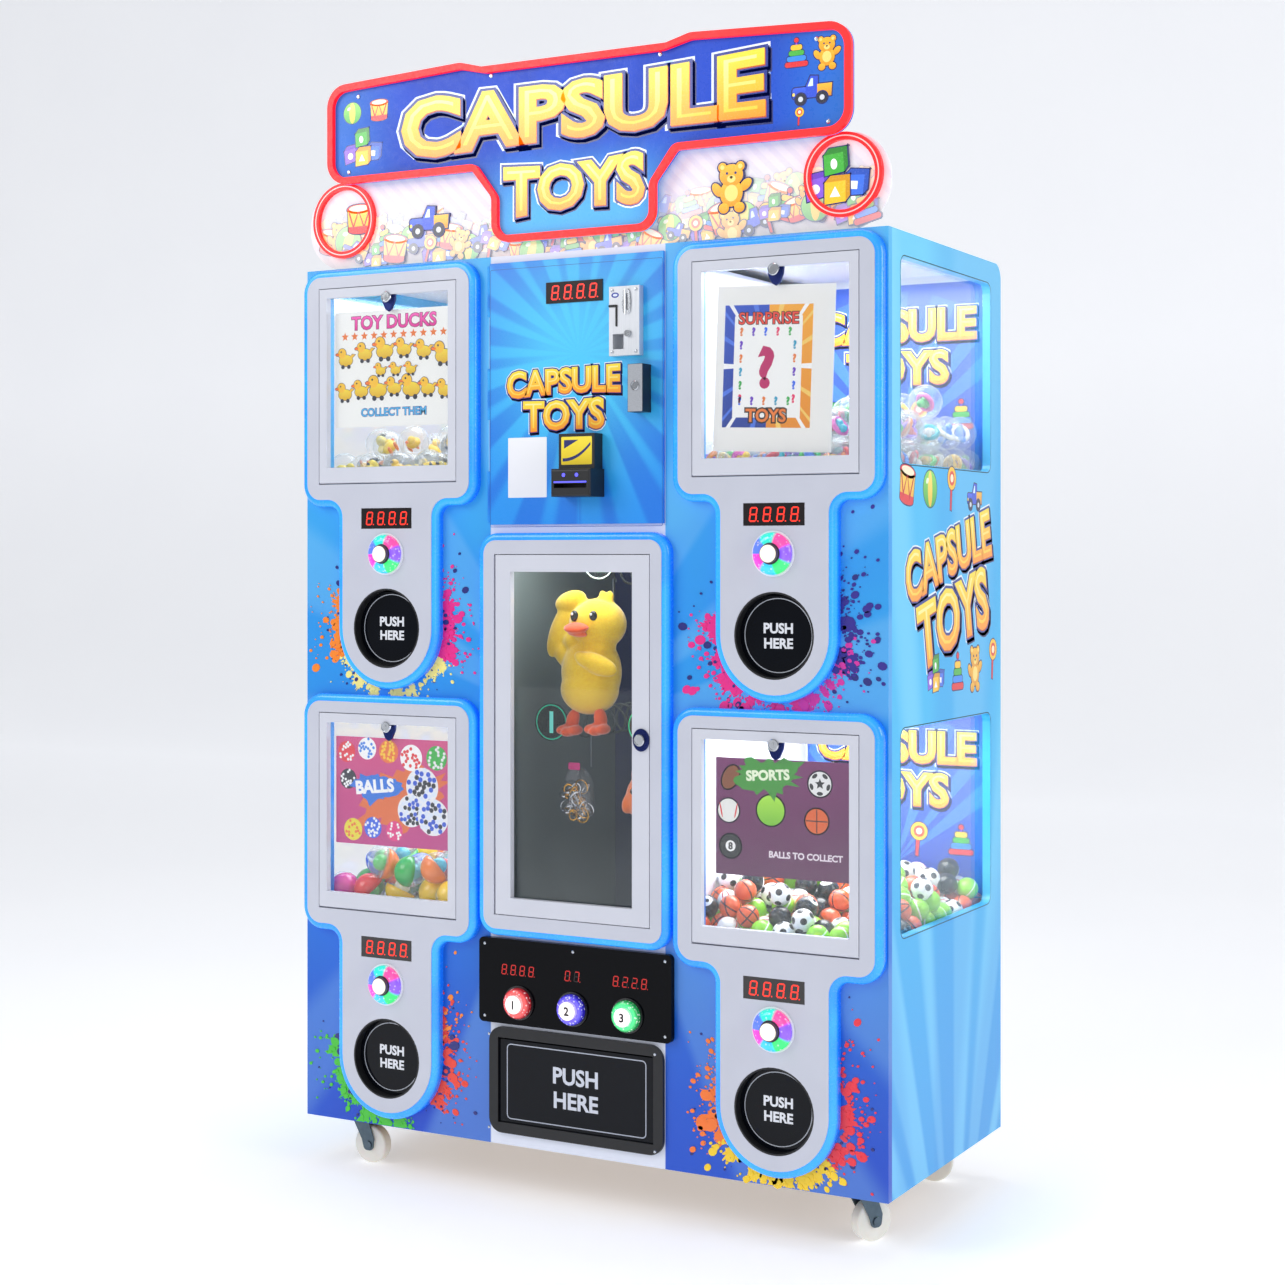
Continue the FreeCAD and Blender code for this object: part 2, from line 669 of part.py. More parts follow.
def chute_box(cx, drop):
    """Folded sheet box behind the front panel and the square duct that feeds it."""
    z = z_at(drop + chute_drop)
    wall, inner, outer = chute_wall, chute_box_half, chute_box_half + chute_wall
    y0, y1 = behind_front, behind_front + chute_box_depth
    duct, duct_outer = duct_half, duct_half + chute_wall
    duct_top = z_at(drop + cup_bottom_drop) - cup_wall
    near, far = drop_y - duct_outer, drop_y + duct_outer
    made = [box(cx - outer, cx + outer, y0, y1, z - outer, z - inner),
            box(cx - outer, cx + outer, y1, y1 + wall, z - outer, z + outer)]
    for side in (-1, 1):
        x0, x1 = sorted((cx + side * inner, cx + side * outer))
        made.append(box(x0, x1, y0, y1, z - inner, z + outer))
        x0, x1 = sorted((cx + side * duct_outer, cx + side * inner))
        made.append(box(x0, x1, y0, y1, z + inner, z + outer))
        x0, x1 = sorted((cx + side * duct, cx + side * duct_outer))
        made.append(box(x0, x1, near, far, z + inner, duct_top))
    made.append(box(cx - duct_outer, cx + duct_outer, y0, near, z + inner, z + outer))
    made.append(box(cx - duct_outer, cx + duct_outer, far, y1, z + inner, z + outer))
    for y in (near, far - wall):
        made.append(box(cx - duct, cx + duct, y, y + wall, z + inner, duct_top))
    return made


def bin_numbers():
    """Mouth and flap of the wide prize bin, as half width and two drops."""
    mouth = (bin_half_width - bin_border, bin_top + bin_border, bin_bottom - bin_border)
    flap = (mouth[0] + flap_overlap, mouth[1] - flap_overlap, mouth[2] + flap_overlap)
    return mouth, flap


def centre_flap():
    _, (half_width, top, bottom) = bin_numbers()
    y0 = front - bin_flap_sink
    y1 = y0 + flap_thickness
    axis_z, axis_y = z_at(top + bin_flap_axis_drop), y1 + flap_barrel_radius
    barrel_half = half_width - bin_barrel_inset
    flap = box(-half_width, half_width, y0, y1, z_at(bottom), axis_z + flap_tab_rise)
    barrel = rod_x(axis_y, axis_z, flap_barrel_radius, -barrel_half, barrel_half)
    web = box(-barrel_half, barrel_half, y1, axis_y, axis_z - flap_barrel_radius, axis_z)
    flap = flap.fuse(web).fuse(barrel)
    bore = rod_x(axis_y, axis_z, flap_pin_radius + running_clearance, -half_width,
                 half_width)
    return flap.cut(bore).removeSplitter()


def bin_surround():
    """Black surround of the wide flap, with the ears and pin that the flap hangs on."""
    (mouth_w, mouth_t, mouth_b), (flap_w, flap_t, flap_b) = bin_numbers()
    lip = front - bin_flap_sink - flap_gap
    body = slab(rounded_rect(-bin_half_width, bin_half_width, bin_top, bin_bottom,
                             bin_corner), front - bin_proud, front)
    body = body.cut(box(-mouth_w, mouth_w, front - bin_proud - 1, front + 1,
                        z_at(mouth_b), z_at(mouth_t)))
    body = body.cut(box(-flap_w - bin_room, flap_w + bin_room, lip, front + 1,
                        z_at(flap_b + bin_room), z_at(flap_t - bin_room)))
    axis_z = z_at(flap_t + bin_flap_axis_drop)
    axis_y = front - bin_flap_sink + flap_thickness + flap_barrel_radius
    y1, z1 = axis_y + bin_ear_back, z_at(flap_t - bin_room)
    for side in (-1, 1):
        a, b = sorted((side * (flap_w - bin_ear_end), side * (flap_w - bin_ear_start)))
        ear = box(a, b, axis_y - bin_ear_front, y1, axis_z - bin_ear_below, z1)
        arm = box(a, b, lip, y1, z_at(flap_t - bin_arm_gap), z1)
        body = body.fuse([ear, arm])
    pin_half = flap_w - bin_pin_inset
    pin = rod_x(axis_y, axis_z, flap_pin_radius, -pin_half, pin_half)
    return body.fuse(pin).removeSplitter()


def bin_box():
    """Floor, sides, back and hood of the bin that the plush prizes fall into."""
    _, (flap_w, flap_t, flap_b) = bin_numbers()
    x1, y0, y1 = flap_w + bin_room, front, front + bin_depth
    z0, z1 = z_at(flap_b + bin_room), z_at(flap_t - bin_room)
    wall = chute_wall
    made = [box(-x1 - wall, x1 + wall, y0, y1, z0 - wall, z0),
            box(-x1 - wall, x1 + wall, y1, y1 + wall, z0 - wall, z1 + wall),
            box(-x1 - wall, x1 + wall, y0, y0 + bin_hood_depth, z1, z1 + wall)]
    for a, b in ((-x1 - wall, -x1), (x1, x1 + wall)):
        made.append(box(a, b, y0, y0 + bin_hood_depth, z0, z1))
        made.append(box(a, b, y0 + bin_hood_depth, y1, z0, z1 + wall))
    return made


def prize_chutes():
    made = bin_box()
    for cx, drop in stations.values():
        made += chute_box(cx, drop)
    return made


# ---------------------------------------------------------------- buttons
def button_places():
    """Name, x, drop, outer radius and mounting face of each of the seven buttons."""
    places = [("play_button_%d" % n, cx, drop + play_button_drop, play_button_radius,
               bezel_face) for n, (cx, drop) in stations.items()]
    for n, x in enumerate((-select_pitch, 0.0, select_pitch), 1):
        places.append(("select_button_%d" % n, x, select_drop, select_button_radius,
                       front - panel_proud))
    return places


def button_housing(x, drop, radius, face):
    """Rim ring on the face, threaded barrel behind it and the nut that holds it."""
    z = z_at(drop)
    rim = rod_y(x, z, radius, face - button_rim_height, face)
    rim = rim.cut(rod_y(x, z, radius - button_rim_width, face - button_rim_height - 1,
                        face - button_sink))
    end = face + button_barrel_length
    barrel = rod_y(x, z, button_barrel_radius, face - button_sink, end)
    nut = rod_y(x, z, button_barrel_radius + button_nut_ring, behind_front,
                behind_front + button_nut_height)
    body = rim.fuse(barrel).fuse(nut)
    return body.cut(rod_y(x, z, button_stem_radius + slide_clearance, face - 2,
                          end - barrel_end_wall)).removeSplitter()


def button(x, drop, radius, face):
    """Dome that rises from the rim to a flat-topped cap, with its guide stem."""
    z = z_at(drop)
    outer = radius - button_rim_width - slide_clearance
    base = button_sink + button_travel + button_end_gap
    brim, shoulder = base + button_brim, button_height - button_cap_height
    points = [(0, base), (outer, base), (outer, brim), (button_cap_radius, shoulder),
              (button_cap_radius, button_height - button_edge),
              (button_cap_radius - button_edge, button_height), (0, button_height)]
    bow = V((outer + button_cap_radius) / 2 + button_bow, 0,
            (brim + shoulder) / 2 + button_bow)
    vectors = [V(r, 0, h) for r, h in points]
    edges = []
    for i, start in enumerate(vectors):
        end = vectors[(i + 1) % len(vectors)]
        if i == 2:
            edges.append(Part.Arc(start, bow, end).toShape())
        else:
            edges.append(Part.LineSegment(start, end).toShape())
    dome = Part.Face(Part.Wire(edges)).revolve(V(0, 0, 0), V(0, 0, 1), 360)
    dome.rotate(V(0, 0, 0), V(1, 0, 0), 90)
    dome.translate(V(x, face, z))
    stem_end = face + button_barrel_length - barrel_end_wall - button_travel - 1.0
    stem = rod_y(x, z, button_stem_radius, face - base - stem_root, stem_end)
    return dome.fuse(stem).removeSplitter()


# ---------------------------------------------------------------- dispensing
def dispenser_disc(cx, drop):
    top = z_at(drop + floor_drop) - disc_end_gap
    bottom = z_at(drop + cup_bottom_drop) + disc_end_gap
    disc = rod_z(cx, disc_y, disc_radius, bottom, top)
    for i in range(pocket_count):
        angle = math.radians(pocket_start + i * 360 / pocket_count)
        disc = disc.cut(rod_z(cx + pocket_circle * math.cos(angle),
                              disc_y + pocket_circle * math.sin(angle), pocket_radius,
                              bottom - 1, top + 1))
    hub = Part.makeCone(hub_low_radius, hub_high_radius, hub_height, V(cx, disc_y, top),
                        V(0, 0, 1))
    shaft = rod_z(cx, disc_y, disc_shaft_radius,
                  z_at(drop + cup_bottom_drop) - cup_wall - 1.0 - disc_shaft_length,
                  bottom + 1)
    return disc.fuse(hub).fuse(shaft).removeSplitter()


def drive_motors():
    made = []
    for cx, drop in stations.values():
        top = z_at(drop + cup_bottom_drop) - cup_wall
        body = box(cx - motor_width / 2, cx + motor_width / 2, disc_y - motor_width / 2,
                   disc_y + motor_width / 2, top - motor_height, top)
        made.append(body.cut(rod_z(cx, disc_y, disc_shaft_radius + running_clearance,
                                   top - disc_shaft_length - bore_end_gap, top + 1)))
    for x, drop in spiral_places:
        z = z_at(drop)
        body = box(x - spiral_motor_size / 2, x + spiral_motor_size / 2,
                   inside_back - spiral_motor_depth, inside_back,
                   z - spiral_motor_size / 2, z + spiral_motor_size / 2)
        face = inside_back - spiral_motor_depth
        made.append(body.cut(rod_y(x, z, disc_shaft_radius + running_clearance, face - 1,
                                   face + spiral_shaft_length + bore_end_gap)))
    return made


def prize_spiral(x, drop):
    """Wire helix that carries hanging prizes forward, on a hub and shaft."""
    z = z_at(drop)
    length = spiral_turns * spiral_pitch
    helix = Part.makeHelix(spiral_pitch, length, spiral_coil_radius)
    start = V(spiral_coil_radius, 0, 0)
    rise = spiral_pitch / (2 * math.pi * spiral_coil_radius)
    profile = Part.Wire(Part.makeCircle(spiral_wire_radius, start, V(0, 1, rise)))
    wire = Part.Wire(helix).makePipeShell([profile], True, True)
    spoke = Part.makeCylinder(spiral_wire_radius, spiral_coil_radius, V(0, 0, 0), V(1, 0, 0))
    tail = spiral_hub_length - spiral_hub_lead
    hub = Part.makeCylinder(spiral_hub_radius, spiral_hub_length, V(0, 0, -tail), V(0, 0, 1))
    shaft_start = -tail - spiral_motor_gap - spiral_shaft_length
    shaft = Part.makeCylinder(disc_shaft_radius, -shaft_start, V(0, 0, shaft_start),
                              V(0, 0, 1))
    body = wire.fuse([spoke, hub, shaft]).removeSplitter()
    body.rotate(V(0, 0, 0), V(1, 0, 0), 90)
    body.translate(V(x, inside_back - spiral_motor_depth - spiral_motor_gap - tail, z))
    return body


# ---------------------------------------------------------------- coin door
hinge_axis_x = -coin_door_half_width - hinge_radius
hinge_axis_y = front - hinge_radius - hinge_lift


def knuckles(mine):
    """The hinge knuckles of the door (mine 0) or of the cabinet (mine 1), each with its web."""
    low, high = z_at(coin_door_bottom) + hinge_inset, z_at(coin_door_top) - hinge_inset
    step = (high - low) / hinge_knuckles
    x, y = hinge_axis_x, hinge_axis_y
    made = []
    for i in range(hinge_knuckles):
        if i % 2 != mine:
            continue
        z0, z1 = low + i * step + hinge_gap, low + (i + 1) * step - hinge_gap
        if mine:
            web = box(x - hinge_leaf_width, x, front - web_thickness, front, z0, z1)
        else:
            web = box(x, x + hinge_radius + 2.0, y - web_thickness, y + web_thickness, z0, z1)
        made.append(rod_z(x, y, hinge_radius, z0, z1).fuse(web))
    return made


def coin_door():
    w, y0 = coin_door_half_width, front - coin_door_proud
    z0, z1 = z_at(coin_door_bottom), z_at(coin_door_top)
    inset = coin_door_lap + skirt_clearance
    inner, rear = inset + skirt_wall, front - coin_door_gap
    leaf = box(-w, w, y0, rear, z0, z1)
    skirt = box(-w + inset, w - inset, front - 1.0, front + coin_door_skirt, z0 + inset,
                z1 - inset)
    hollow = box(-w + inner, w - inner, rear, front + coin_door_skirt + 1, z0 + inner,
                 z1 - inner)
    door = leaf.fuse(skirt.cut(hollow))
    bore = rod_z(hinge_axis_x, hinge_axis_y, hinge_pin_radius + running_clearance,
                 z0 - 1, z1 + 1)
    door = door.fuse(knuckles(0)).cut(bore)
    grow = hole_clearance
    half_wide = acceptor_width / 2 - acceptor_rim + grow
    half_high = acceptor_height / 2 - acceptor_rim + grow
    door = door.cut(box(acceptor_x - half_wide, acceptor_x + half_wide, y0 - 1, front + 1,
                        z_at(acceptor_drop) - half_high, z_at(acceptor_drop) + half_high))
    return door.removeSplitter()


def hinge_leaf():
    """The cabinet's side of the coin door hinge: its knuckles on one long pin."""
    pin = rod_z(hinge_axis_x, hinge_axis_y, hinge_pin_radius,
                z_at(coin_door_bottom) + hinge_inset, z_at(coin_door_top) - hinge_inset)
    return pin.fuse(knuckles(1)).removeSplitter()


def coin_door_fittings():
    """Coin acceptor, cash lock box and credit display, all on the door's face."""
    face = front - coin_door_proud
    x0, x1 = acceptor_x - acceptor_width / 2, acceptor_x + acceptor_width / 2
    z0, z1 = z_at(acceptor_drop + acceptor_height / 2), z_at(acceptor_drop - acceptor_height / 2)
    plate = box(x0, x1, face - acceptor_proud, face, z0, z1)
    rim = acceptor_rim
    plate = plate.fuse(box(x0 + rim, x1 - rim, face, face + acceptor_body_depth, z0 + rim,
                           z1 - rim))
    slot_x, slot_top = acceptor_x + coin_slot_offset, z1 - coin_slot_inset
    plate = plate.cut(box(slot_x - coin_slot_width / 2, slot_x + coin_slot_width / 2,
                          face - acceptor_proud - 1, face + coin_slot_depth,
                          slot_top - coin_slot_height, slot_top))
    cup_x, cup_z = x0 + coin_return_inset, z0 + coin_return_rise
    plate = plate.cut(box(cup_x, cup_x + coin_return_width, face - acceptor_proud - 1,
                          face - acceptor_proud + coin_return_recess, cup_z,
                          cup_z + coin_return_height))
    plate = plate.cut(rod_y(reject_x, z_at(reject_drop), reject_radius + slide_clearance,
                            face - acceptor_proud - 1, face + reject_bore_depth))
    lock = box(lock_box_x - lock_box_width / 2, lock_box_x + lock_box_width / 2,
               face - lock_box_proud, face, z_at(lock_box_drop + lock_box_height / 2),
               z_at(lock_box_drop - lock_box_height / 2))
    display = box(-coin_display_width / 2, coin_display_width / 2, face - display_skin, face,
                  z_at(coin_display_drop + display_height / 2),
                  z_at(coin_display_drop - display_height / 2))
    return [plate.removeSplitter(), lock, display]


def coin_reject_button():
    face = front - coin_door_proud
    z = z_at(reject_drop)
    return rod_y(reject_x, z, reject_radius, face - acceptor_proud - reject_height,
                 face + reject_bore_depth - reject_travel - 1.0)


def bill_acceptor():
    face = front - coin_door_proud
    nose = front - front_reach
    head = box(bill_x - bill_head_width / 2, bill_x + bill_head_width / 2,
               front - bill_head_proud, face, z_at(bill_split), z_at(bill_top))
    lower = box(bill_x - bill_nose_width / 2, bill_x + bill_nose_width / 2, nose, face,
                z_at(bill_bottom), z_at(bill_split))
    soft = [e for e in lower.Edges if e.BoundBox.YMax < nose + 0.1]
    lower = lower.makeFillet(bill_nose_round, soft)
    mouth_z = (z_at(bill_bottom) + z_at(bill_split)) / 2 - bill_mouth_offset
    mouth = box(bill_x - bill_mouth_width / 2, bill_x + bill_mouth_width / 2, nose - 1,
                nose + bill_mouth_depth, mouth_z - bill_mouth_height / 2,
                mouth_z + bill_mouth_height / 2)
    return head.fuse(lower).cut(mouth).removeSplitter()


def control_panel():
    plate = slab(rounded_rect(-panel_half_width, panel_half_width, panel_top, panel_bottom,
                              panel_corner), front - panel_proud, front)
    for x in (-select_pitch, 0.0, select_pitch):
        plate = plate.cut(rod_y(x, z_at(select_drop), button_barrel_radius + hole_clearance,
                                front - panel_proud - 1, front + 1))
    return plate


# ---------------------------------------------------------------- sign
def lower_sign_outline():
    top, low = cabinet_top + lower_sign_height, cabinet_top
    r = lower_sign_corner
    return [(-half, low, r), (-half, top, r), (half, top, r), (half, low, r)]


def upper_sign_outline(inset=0.0):
    """Wide banner with two low peaks along its top and a tab that hangs in the middle."""
    w, base, corner = upper_half_width - inset, cabinet_top + inset, upper_corner - inset
    tab = tab_half - inset
    right = [(dip_half - inset / 2, cabinet_top + upper_centre - inset, dip_round),
             (peak_half, cabinet_top + upper_peak - inset, peak_round),
             (w, cabinet_top + upper_top_outer - inset, corner),
             (w, base + upper_bottom, corner),
             (shoulder_half - inset / 2, base + upper_bottom, shoulder_round + inset),
             (tab, cabinet_top + tab_shoulder, tab_shoulder_round + inset / 2),
             (tab, base + tab_bottom, tab_round - inset)]
    left = [(-x, z, r) for x, z, r in reversed(right)]
    return right + left


lower_sign_y = front + sign_setback
upper_sign_y = lower_sign_y - sign_step


def sign_boards():
    lower = slab(lower_sign_outline(), lower_sign_y, lower_sign_y + sign_board_thickness)
    upper = slab(upper_sign_outline(), upper_sign_y, upper_sign_y + sign_board_thickness)
    return [lower, upper]


def sign_neon_tubes():
    border = slab(upper_sign_outline(), upper_sign_y - neon_height, upper_sign_y)
    border = border.cut(slab(upper_sign_outline(neon_width), upper_sign_y - neon_height - 1,
                             upper_sign_y + 1))
    made = [border]
    z = cabinet_top + neon_ring_rise
    for x in (-neon_ring_x, neon_ring_x):
        ring = rod_y(x, z, neon_ring_radius, lower_sign_y - neon_height, lower_sign_y)
        made.append(ring.cut(rod_y(x, z, neon_ring_radius - neon_width,
                                   lower_sign_y - neon_height - 1, lower_sign_y + 1)))
    return made


def sign_brackets():
    """Upright flats bolted to the top, with spacers to the two boards."""
    made = []
    y0 = lower_sign_y + sign_board_thickness
    y1 = y0 + bracket_thickness
    for x in bracket_x:
        a, b = x - bracket_width / 2, x + bracket_width / 2
        upright = box(a, b, y0, y1, cabinet_top, cabinet_top + bracket_rise)
        foot = box(a, b, y0, y0 + bracket_foot, cabinet_top, cabinet_top + bracket_thickness)
        spacers = [rod_y(x, z, spacer_radius, upper_sign_y + sign_board_thickness, y0)
                   for z in (cabinet_top + bracket_rise - spacer_inset,
                             cabinet_top + upper_bottom + low_spacer_rise)]
        made.append(upright.fuse([foot] + spacers).removeSplitter())
    return made


# ---------------------------------------------------------------- casters
caster_places = {1: (-caster_x, front + caster_inset), 2: (caster_x, front + caster_inset),
                 3: (-caster_x, back - caster_inset), 4: (caster_x, back - caster_inset)}
yoke_top = caster_height - caster_plate_t - race_height - swivel_gap


def caster_plates():
    made = []
    for x, y in caster_places.values():
        plate = box(x - caster_plate_x / 2, x + caster_plate_x / 2, y - caster_plate_y / 2,
                    y + caster_plate_y / 2, caster_height - caster_plate_t, caster_height)
        race = rod_z(x, y, race_radius, caster_height - caster_plate_t - race_height,
                     caster_height)
        made.append(plate.fuse(race).cut(rod_z(x, y, kingpin_radius + running_clearance,
                                               0, caster_height - 0.5)).removeSplitter())
    return made


def caster_fork(number):
    """Inverted U with raked legs, its kingpin and its axle, trailing along local +X."""
    leg_y = hub_width / 2 + fork_gap
    outer = leg_y + fork_gauge
    yoke_low = yoke_top - yoke_thickness
    body = rod_z(0, 0, race_radius, yoke_low, yoke_top)
    body = body.fuse(box(-yoke_back, yoke_front, -outer, outer, yoke_low, yoke_top))
    high, low = wheel_radius + leg_above, wheel_radius - leg_below
    profile = [(-yoke_back, yoke_top, 0), (yoke_front, yoke_top, 0),
               (trail + leg_high_front, high, 6), (trail + leg_low_front, low, 9),
               (trail - leg_low_back, low, 9), (trail - leg_high_back, high - 2, 6)]
    for side in (-1, 1):
        y0, y1 = sorted((side * leg_y, side * outer))
        body = body.fuse(slab(profile, y0, y1))
        y0, y1 = sorted((side * outer, side * (outer + boss_height)))
        body = body.fuse(rod_y(trail, wheel_radius, boss_radius, y0, y1))
    body = body.fuse(rod_y(trail, wheel_radius, axle_radius, -leg_y - 1, leg_y + 1))
    body = body.fuse(rod_z(0, 0, kingpin_radius, yoke_top - 2, caster_height - 1.0))
    return place_caster(body.removeSplitter(), number)


def caster_wheel(number):
    wheel = rod_y(trail, wheel_radius, wheel_radius, -wheel_width / 2, wheel_width / 2)
    rim = [e for e in wheel.Edges if e.BoundBox.ZLength > wheel_radius]
    wheel = wheel.makeFillet(tread_round, rim)
    wheel = wheel.fuse(rod_y(trail, wheel_radius, hub_radius, -hub_width / 2, hub_width / 2))
    bore = axle_radius + running_clearance
    wheel = wheel.cut(rod_y(trail, wheel_radius, bore, -hub_width, hub_width))
    return place_caster(wheel.removeSplitter(), number)


def place_caster(shape, number):
    x, y = caster_places[number]
    shape.rotate(V(0, 0, 0), V(0, 0, 1), caster_angles[number])
    shape.translate(V(x, y, 0))
    return shape


# ---------------------------------------------------------------- write every node
save("base_panel", base_panel())
save("top_and_back_panels", [top_panel(), back_panel()])
save("side_panels", side_panels())
save("side_windows", side_windows())
save("power_inlet", power_inlet())
save("inner_walls", inner_walls())
save("front_panel", [front_panel(), hinge_leaf()])
save("window_bezels", window_bezels())
save("bezel_light_edges", bezel_light_edges())
save("station_displays", station_displays())
save("flap_surrounds", [bin_surround()] + [chute_collar(*s) for s in stations.values()])
save("prize_chutes", prize_chutes())
save("control_panel", control_panel())
save("drive_motors", drive_motors())
save("sign_boards", sign_boards())
save("sign_neon_tubes", sign_neon_tubes())
save("sign_brackets", sign_brackets())
save("caster_plates", caster_plates())
save("button_housings", [button_housing(*place[1:]) for place in button_places()])
for name, *place in button_places():
    save(name, button(*place))
for n, (cx, drop) in stations.items():
    frame, pane = framed_door(cx, door_width, drop + door_top, door_height, door_frame_side,
                              door_frame_side, door_frame_bottom, True)
    save("station_door_%d" % n, frame)
    save("station_glass_%d" % n, pane)
    save("prize_flap_%d" % n, prize_flap(cx, drop))
    save("dispenser_disc_%d" % n, dispenser_disc(cx, drop))
frame, pane = framed_door(0, centre_door_width, centre_door_top, centre_door_height,
                          centre_frame_side, centre_frame_end, centre_frame_end, False)
save("centre_door", frame)
save("centre_glass", pane)
save("centre_prize_flap", centre_flap())
save("coin_door", coin_door())
save("coin_door_fittings", coin_door_fittings())
save("coin_reject_button", coin_reject_button())
save("bill_acceptor", bill_acceptor())
for n in caster_places:
    save("caster_fork_%d" % n, caster_fork(n))
    save("caster_wheel_%d" % n, caster_wheel(n))
for n, (x, drop) in enumerate(spiral_places, 1):
    save("prize_spiral_%d" % n, prize_spiral(x, drop))
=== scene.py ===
# %% [markdown]
# # A capsule and plush prize cabinet
# The CAD frame holds every part that has a size: boards, doors, flaps, buttons, discs, casters.
# This script gives those parts their finishes and adds what a cabinet like this wears and
# holds: its printed pictures, lit digits, locks, screws, capsules, balls and a plush duck.
# All lengths below are millimetres until one function, `new_object`, turns them to metres.

# %% Load the CAD frame
import math

import bmesh
import bpy
import numpy as np
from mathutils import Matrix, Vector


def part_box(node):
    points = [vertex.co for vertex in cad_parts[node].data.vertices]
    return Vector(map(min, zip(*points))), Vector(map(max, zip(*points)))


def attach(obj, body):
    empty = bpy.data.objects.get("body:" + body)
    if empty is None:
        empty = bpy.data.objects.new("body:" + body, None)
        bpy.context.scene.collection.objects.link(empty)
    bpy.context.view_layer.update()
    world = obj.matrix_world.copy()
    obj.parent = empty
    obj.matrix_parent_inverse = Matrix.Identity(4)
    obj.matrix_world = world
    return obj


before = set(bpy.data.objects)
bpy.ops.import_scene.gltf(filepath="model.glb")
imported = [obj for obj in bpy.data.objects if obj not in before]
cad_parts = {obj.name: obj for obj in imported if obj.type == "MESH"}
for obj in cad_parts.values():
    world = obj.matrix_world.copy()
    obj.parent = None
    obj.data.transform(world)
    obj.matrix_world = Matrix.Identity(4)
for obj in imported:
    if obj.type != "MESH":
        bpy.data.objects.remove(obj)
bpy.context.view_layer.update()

MM = 0.001

# %% [markdown]
# The frame is the one source of places. `span` reads a node's two corners in millimetres, and
# the few numbers below name the planes that the printed pictures and fittings lie on.

# %% Places read from the frame
def span(node):
    """Lowest and highest corner of a CAD node, in millimetres."""
    low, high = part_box(node)
    return np.array(low) / MM, np.array(high) / MM


TOP = span("top_and_back_panels")[1][2]           # cabinet top
HALF = span("side_panels")[1][0]                  # half the width
FRONT = span("control_panel")[1][1]               # face of the front panel
BEZEL = span("window_bezels")[0][1]               # face of the station bezels
BACK = span("top_and_back_panels")[1][1]          # outside of the back panel
INSIDE_BACK = span("inner_walls")[1][1]           # where the bins end
DOOR_DROP = 42.0                                  # from a station's top to its door
EACH_STATION = (1, 2, 3, 4)
DOORS = {n: span("station_door_%d" % n) for n in EACH_STATION}
COLUMN = {n: (DOORS[n][0][0] + DOORS[n][1][0]) / 2 for n in DOORS}
STATION_TOP = {n: round(TOP - DOORS[n][1][2] - DOOR_DROP) for n in DOORS}
BIN_MIDDLE = {n: math.copysign(414, COLUMN[n]) for n in DOORS}    # middle of a side column's bin
print("top", TOP, "front", FRONT, "bezel", BEZEL, "columns", COLUMN, STATION_TOP)

# %% [markdown]
# ## Camera, floor and light
# A plain pale floor and big soft lamps, as in a product studio. The camera stands to the
# right of the cabinet, level, with its frame shifted down a little instead of tilted, so the
# cabinet's upright edges stay upright.

# %% Camera
SHARED = bpy.context.scene
SHARED.view_settings.view_transform = "Standard"
camera_data = bpy.data.cameras.new("camera")
camera_data.lens, camera_data.sensor_width = 60.3, 36.0
camera_data.shift_x, camera_data.shift_y = 0.0, -0.0665
camera = bpy.data.objects.new("camera", camera_data)
camera.location = (2.057, -3.743, 1.224)
camera.rotation_euler = (math.radians(90), 0, math.radians(28.8))
SHARED.collection.objects.link(camera)
SHARED.camera = camera
print("camera lens", camera_data.lens)


# %% Lamps and world
def lamp(name, place, aim, size, watts, colour=(1, 1, 1)):
    """Square soft lamp at place, turned so that its -Z points at aim."""
    data = bpy.data.lights.new(name, "AREA")
    data.energy, data.size, data.color = watts, size, colour
    made = bpy.data.objects.new(name, data)
    made.location = place
    way = np.array(aim) - np.array(place)
    made.rotation_euler = aim_angles(way)
    SHARED.collection.objects.link(made)
    return made


def aim_angles(way):
    """Euler angles that turn -Z along way: tilt from straight down, then turn about Z."""
    x, y, z = way / np.linalg.norm(way)
    return (math.acos(-z), 0.0, math.atan2(y, x) - math.pi / 2)


lamp("key_lamp", (-2.6, -3.4, 3.4), (0, 0, 1.1), 2.4, 74)
lamp("side_lamp", (4.2, -0.6, 2.6), (0.2, 0, 1.0), 2.2, 62)
lamp("front_lamp", (0.6, -4.6, 1.6), (0, 0, 0.9), 2.6, 22)
lamp("top_lamp", (0, 0.4, 4.4), (0, 0, 1.5), 2.0, 30)
world = bpy.data.worlds.new("studio")
world.use_nodes = True
world.node_tree.nodes["Background"].inputs["Color"].default_value = (0.93, 0.95, 1.0, 1)
world.node_tree.nodes["Background"].inputs["Strength"].default_value = 0.4
SHARED.world = world

# %% [markdown]
# ## Finishes
# Colours are written as the hex codes that a print shop or paint card would give, so one
# function turns them to the linear values that Blender mixes light with. Every node of every
# material goes through `add`: what is given as another node's output is linked, and what is a
# plain value is set on the socket itself.

# %% Colour and node helpers
def linear(code):
    """Hex to linear RGBA: c / 12.92 up to 0.04045, above it ((c + 0.055) / 1.055) ** 2.4."""
    c = np.array([int(code[i:i + 2], 16) for i in (1, 3, 5)]) / 255
    low, high = c / 12.92, ((c + 0.055) / 1.055) ** 2.4
    return tuple(float(v) for v in np.where(c <= 0.04045, low, high)) + (1.0,)


def add(tree, kind, inputs=None, **settings):
    """One shader node with its settings, its inputs linked from outputs or set to values."""
    node = tree.nodes.new("ShaderNode" + kind)
    for name, value in settings.items():
        setattr(node, name, value)
    for name, value in (inputs or {}).items():
        if isinstance(value, bpy.types.NodeSocket):
            tree.links.new(value, node.inputs[name])
        else:
            node.inputs[name].default_value = value
    return node


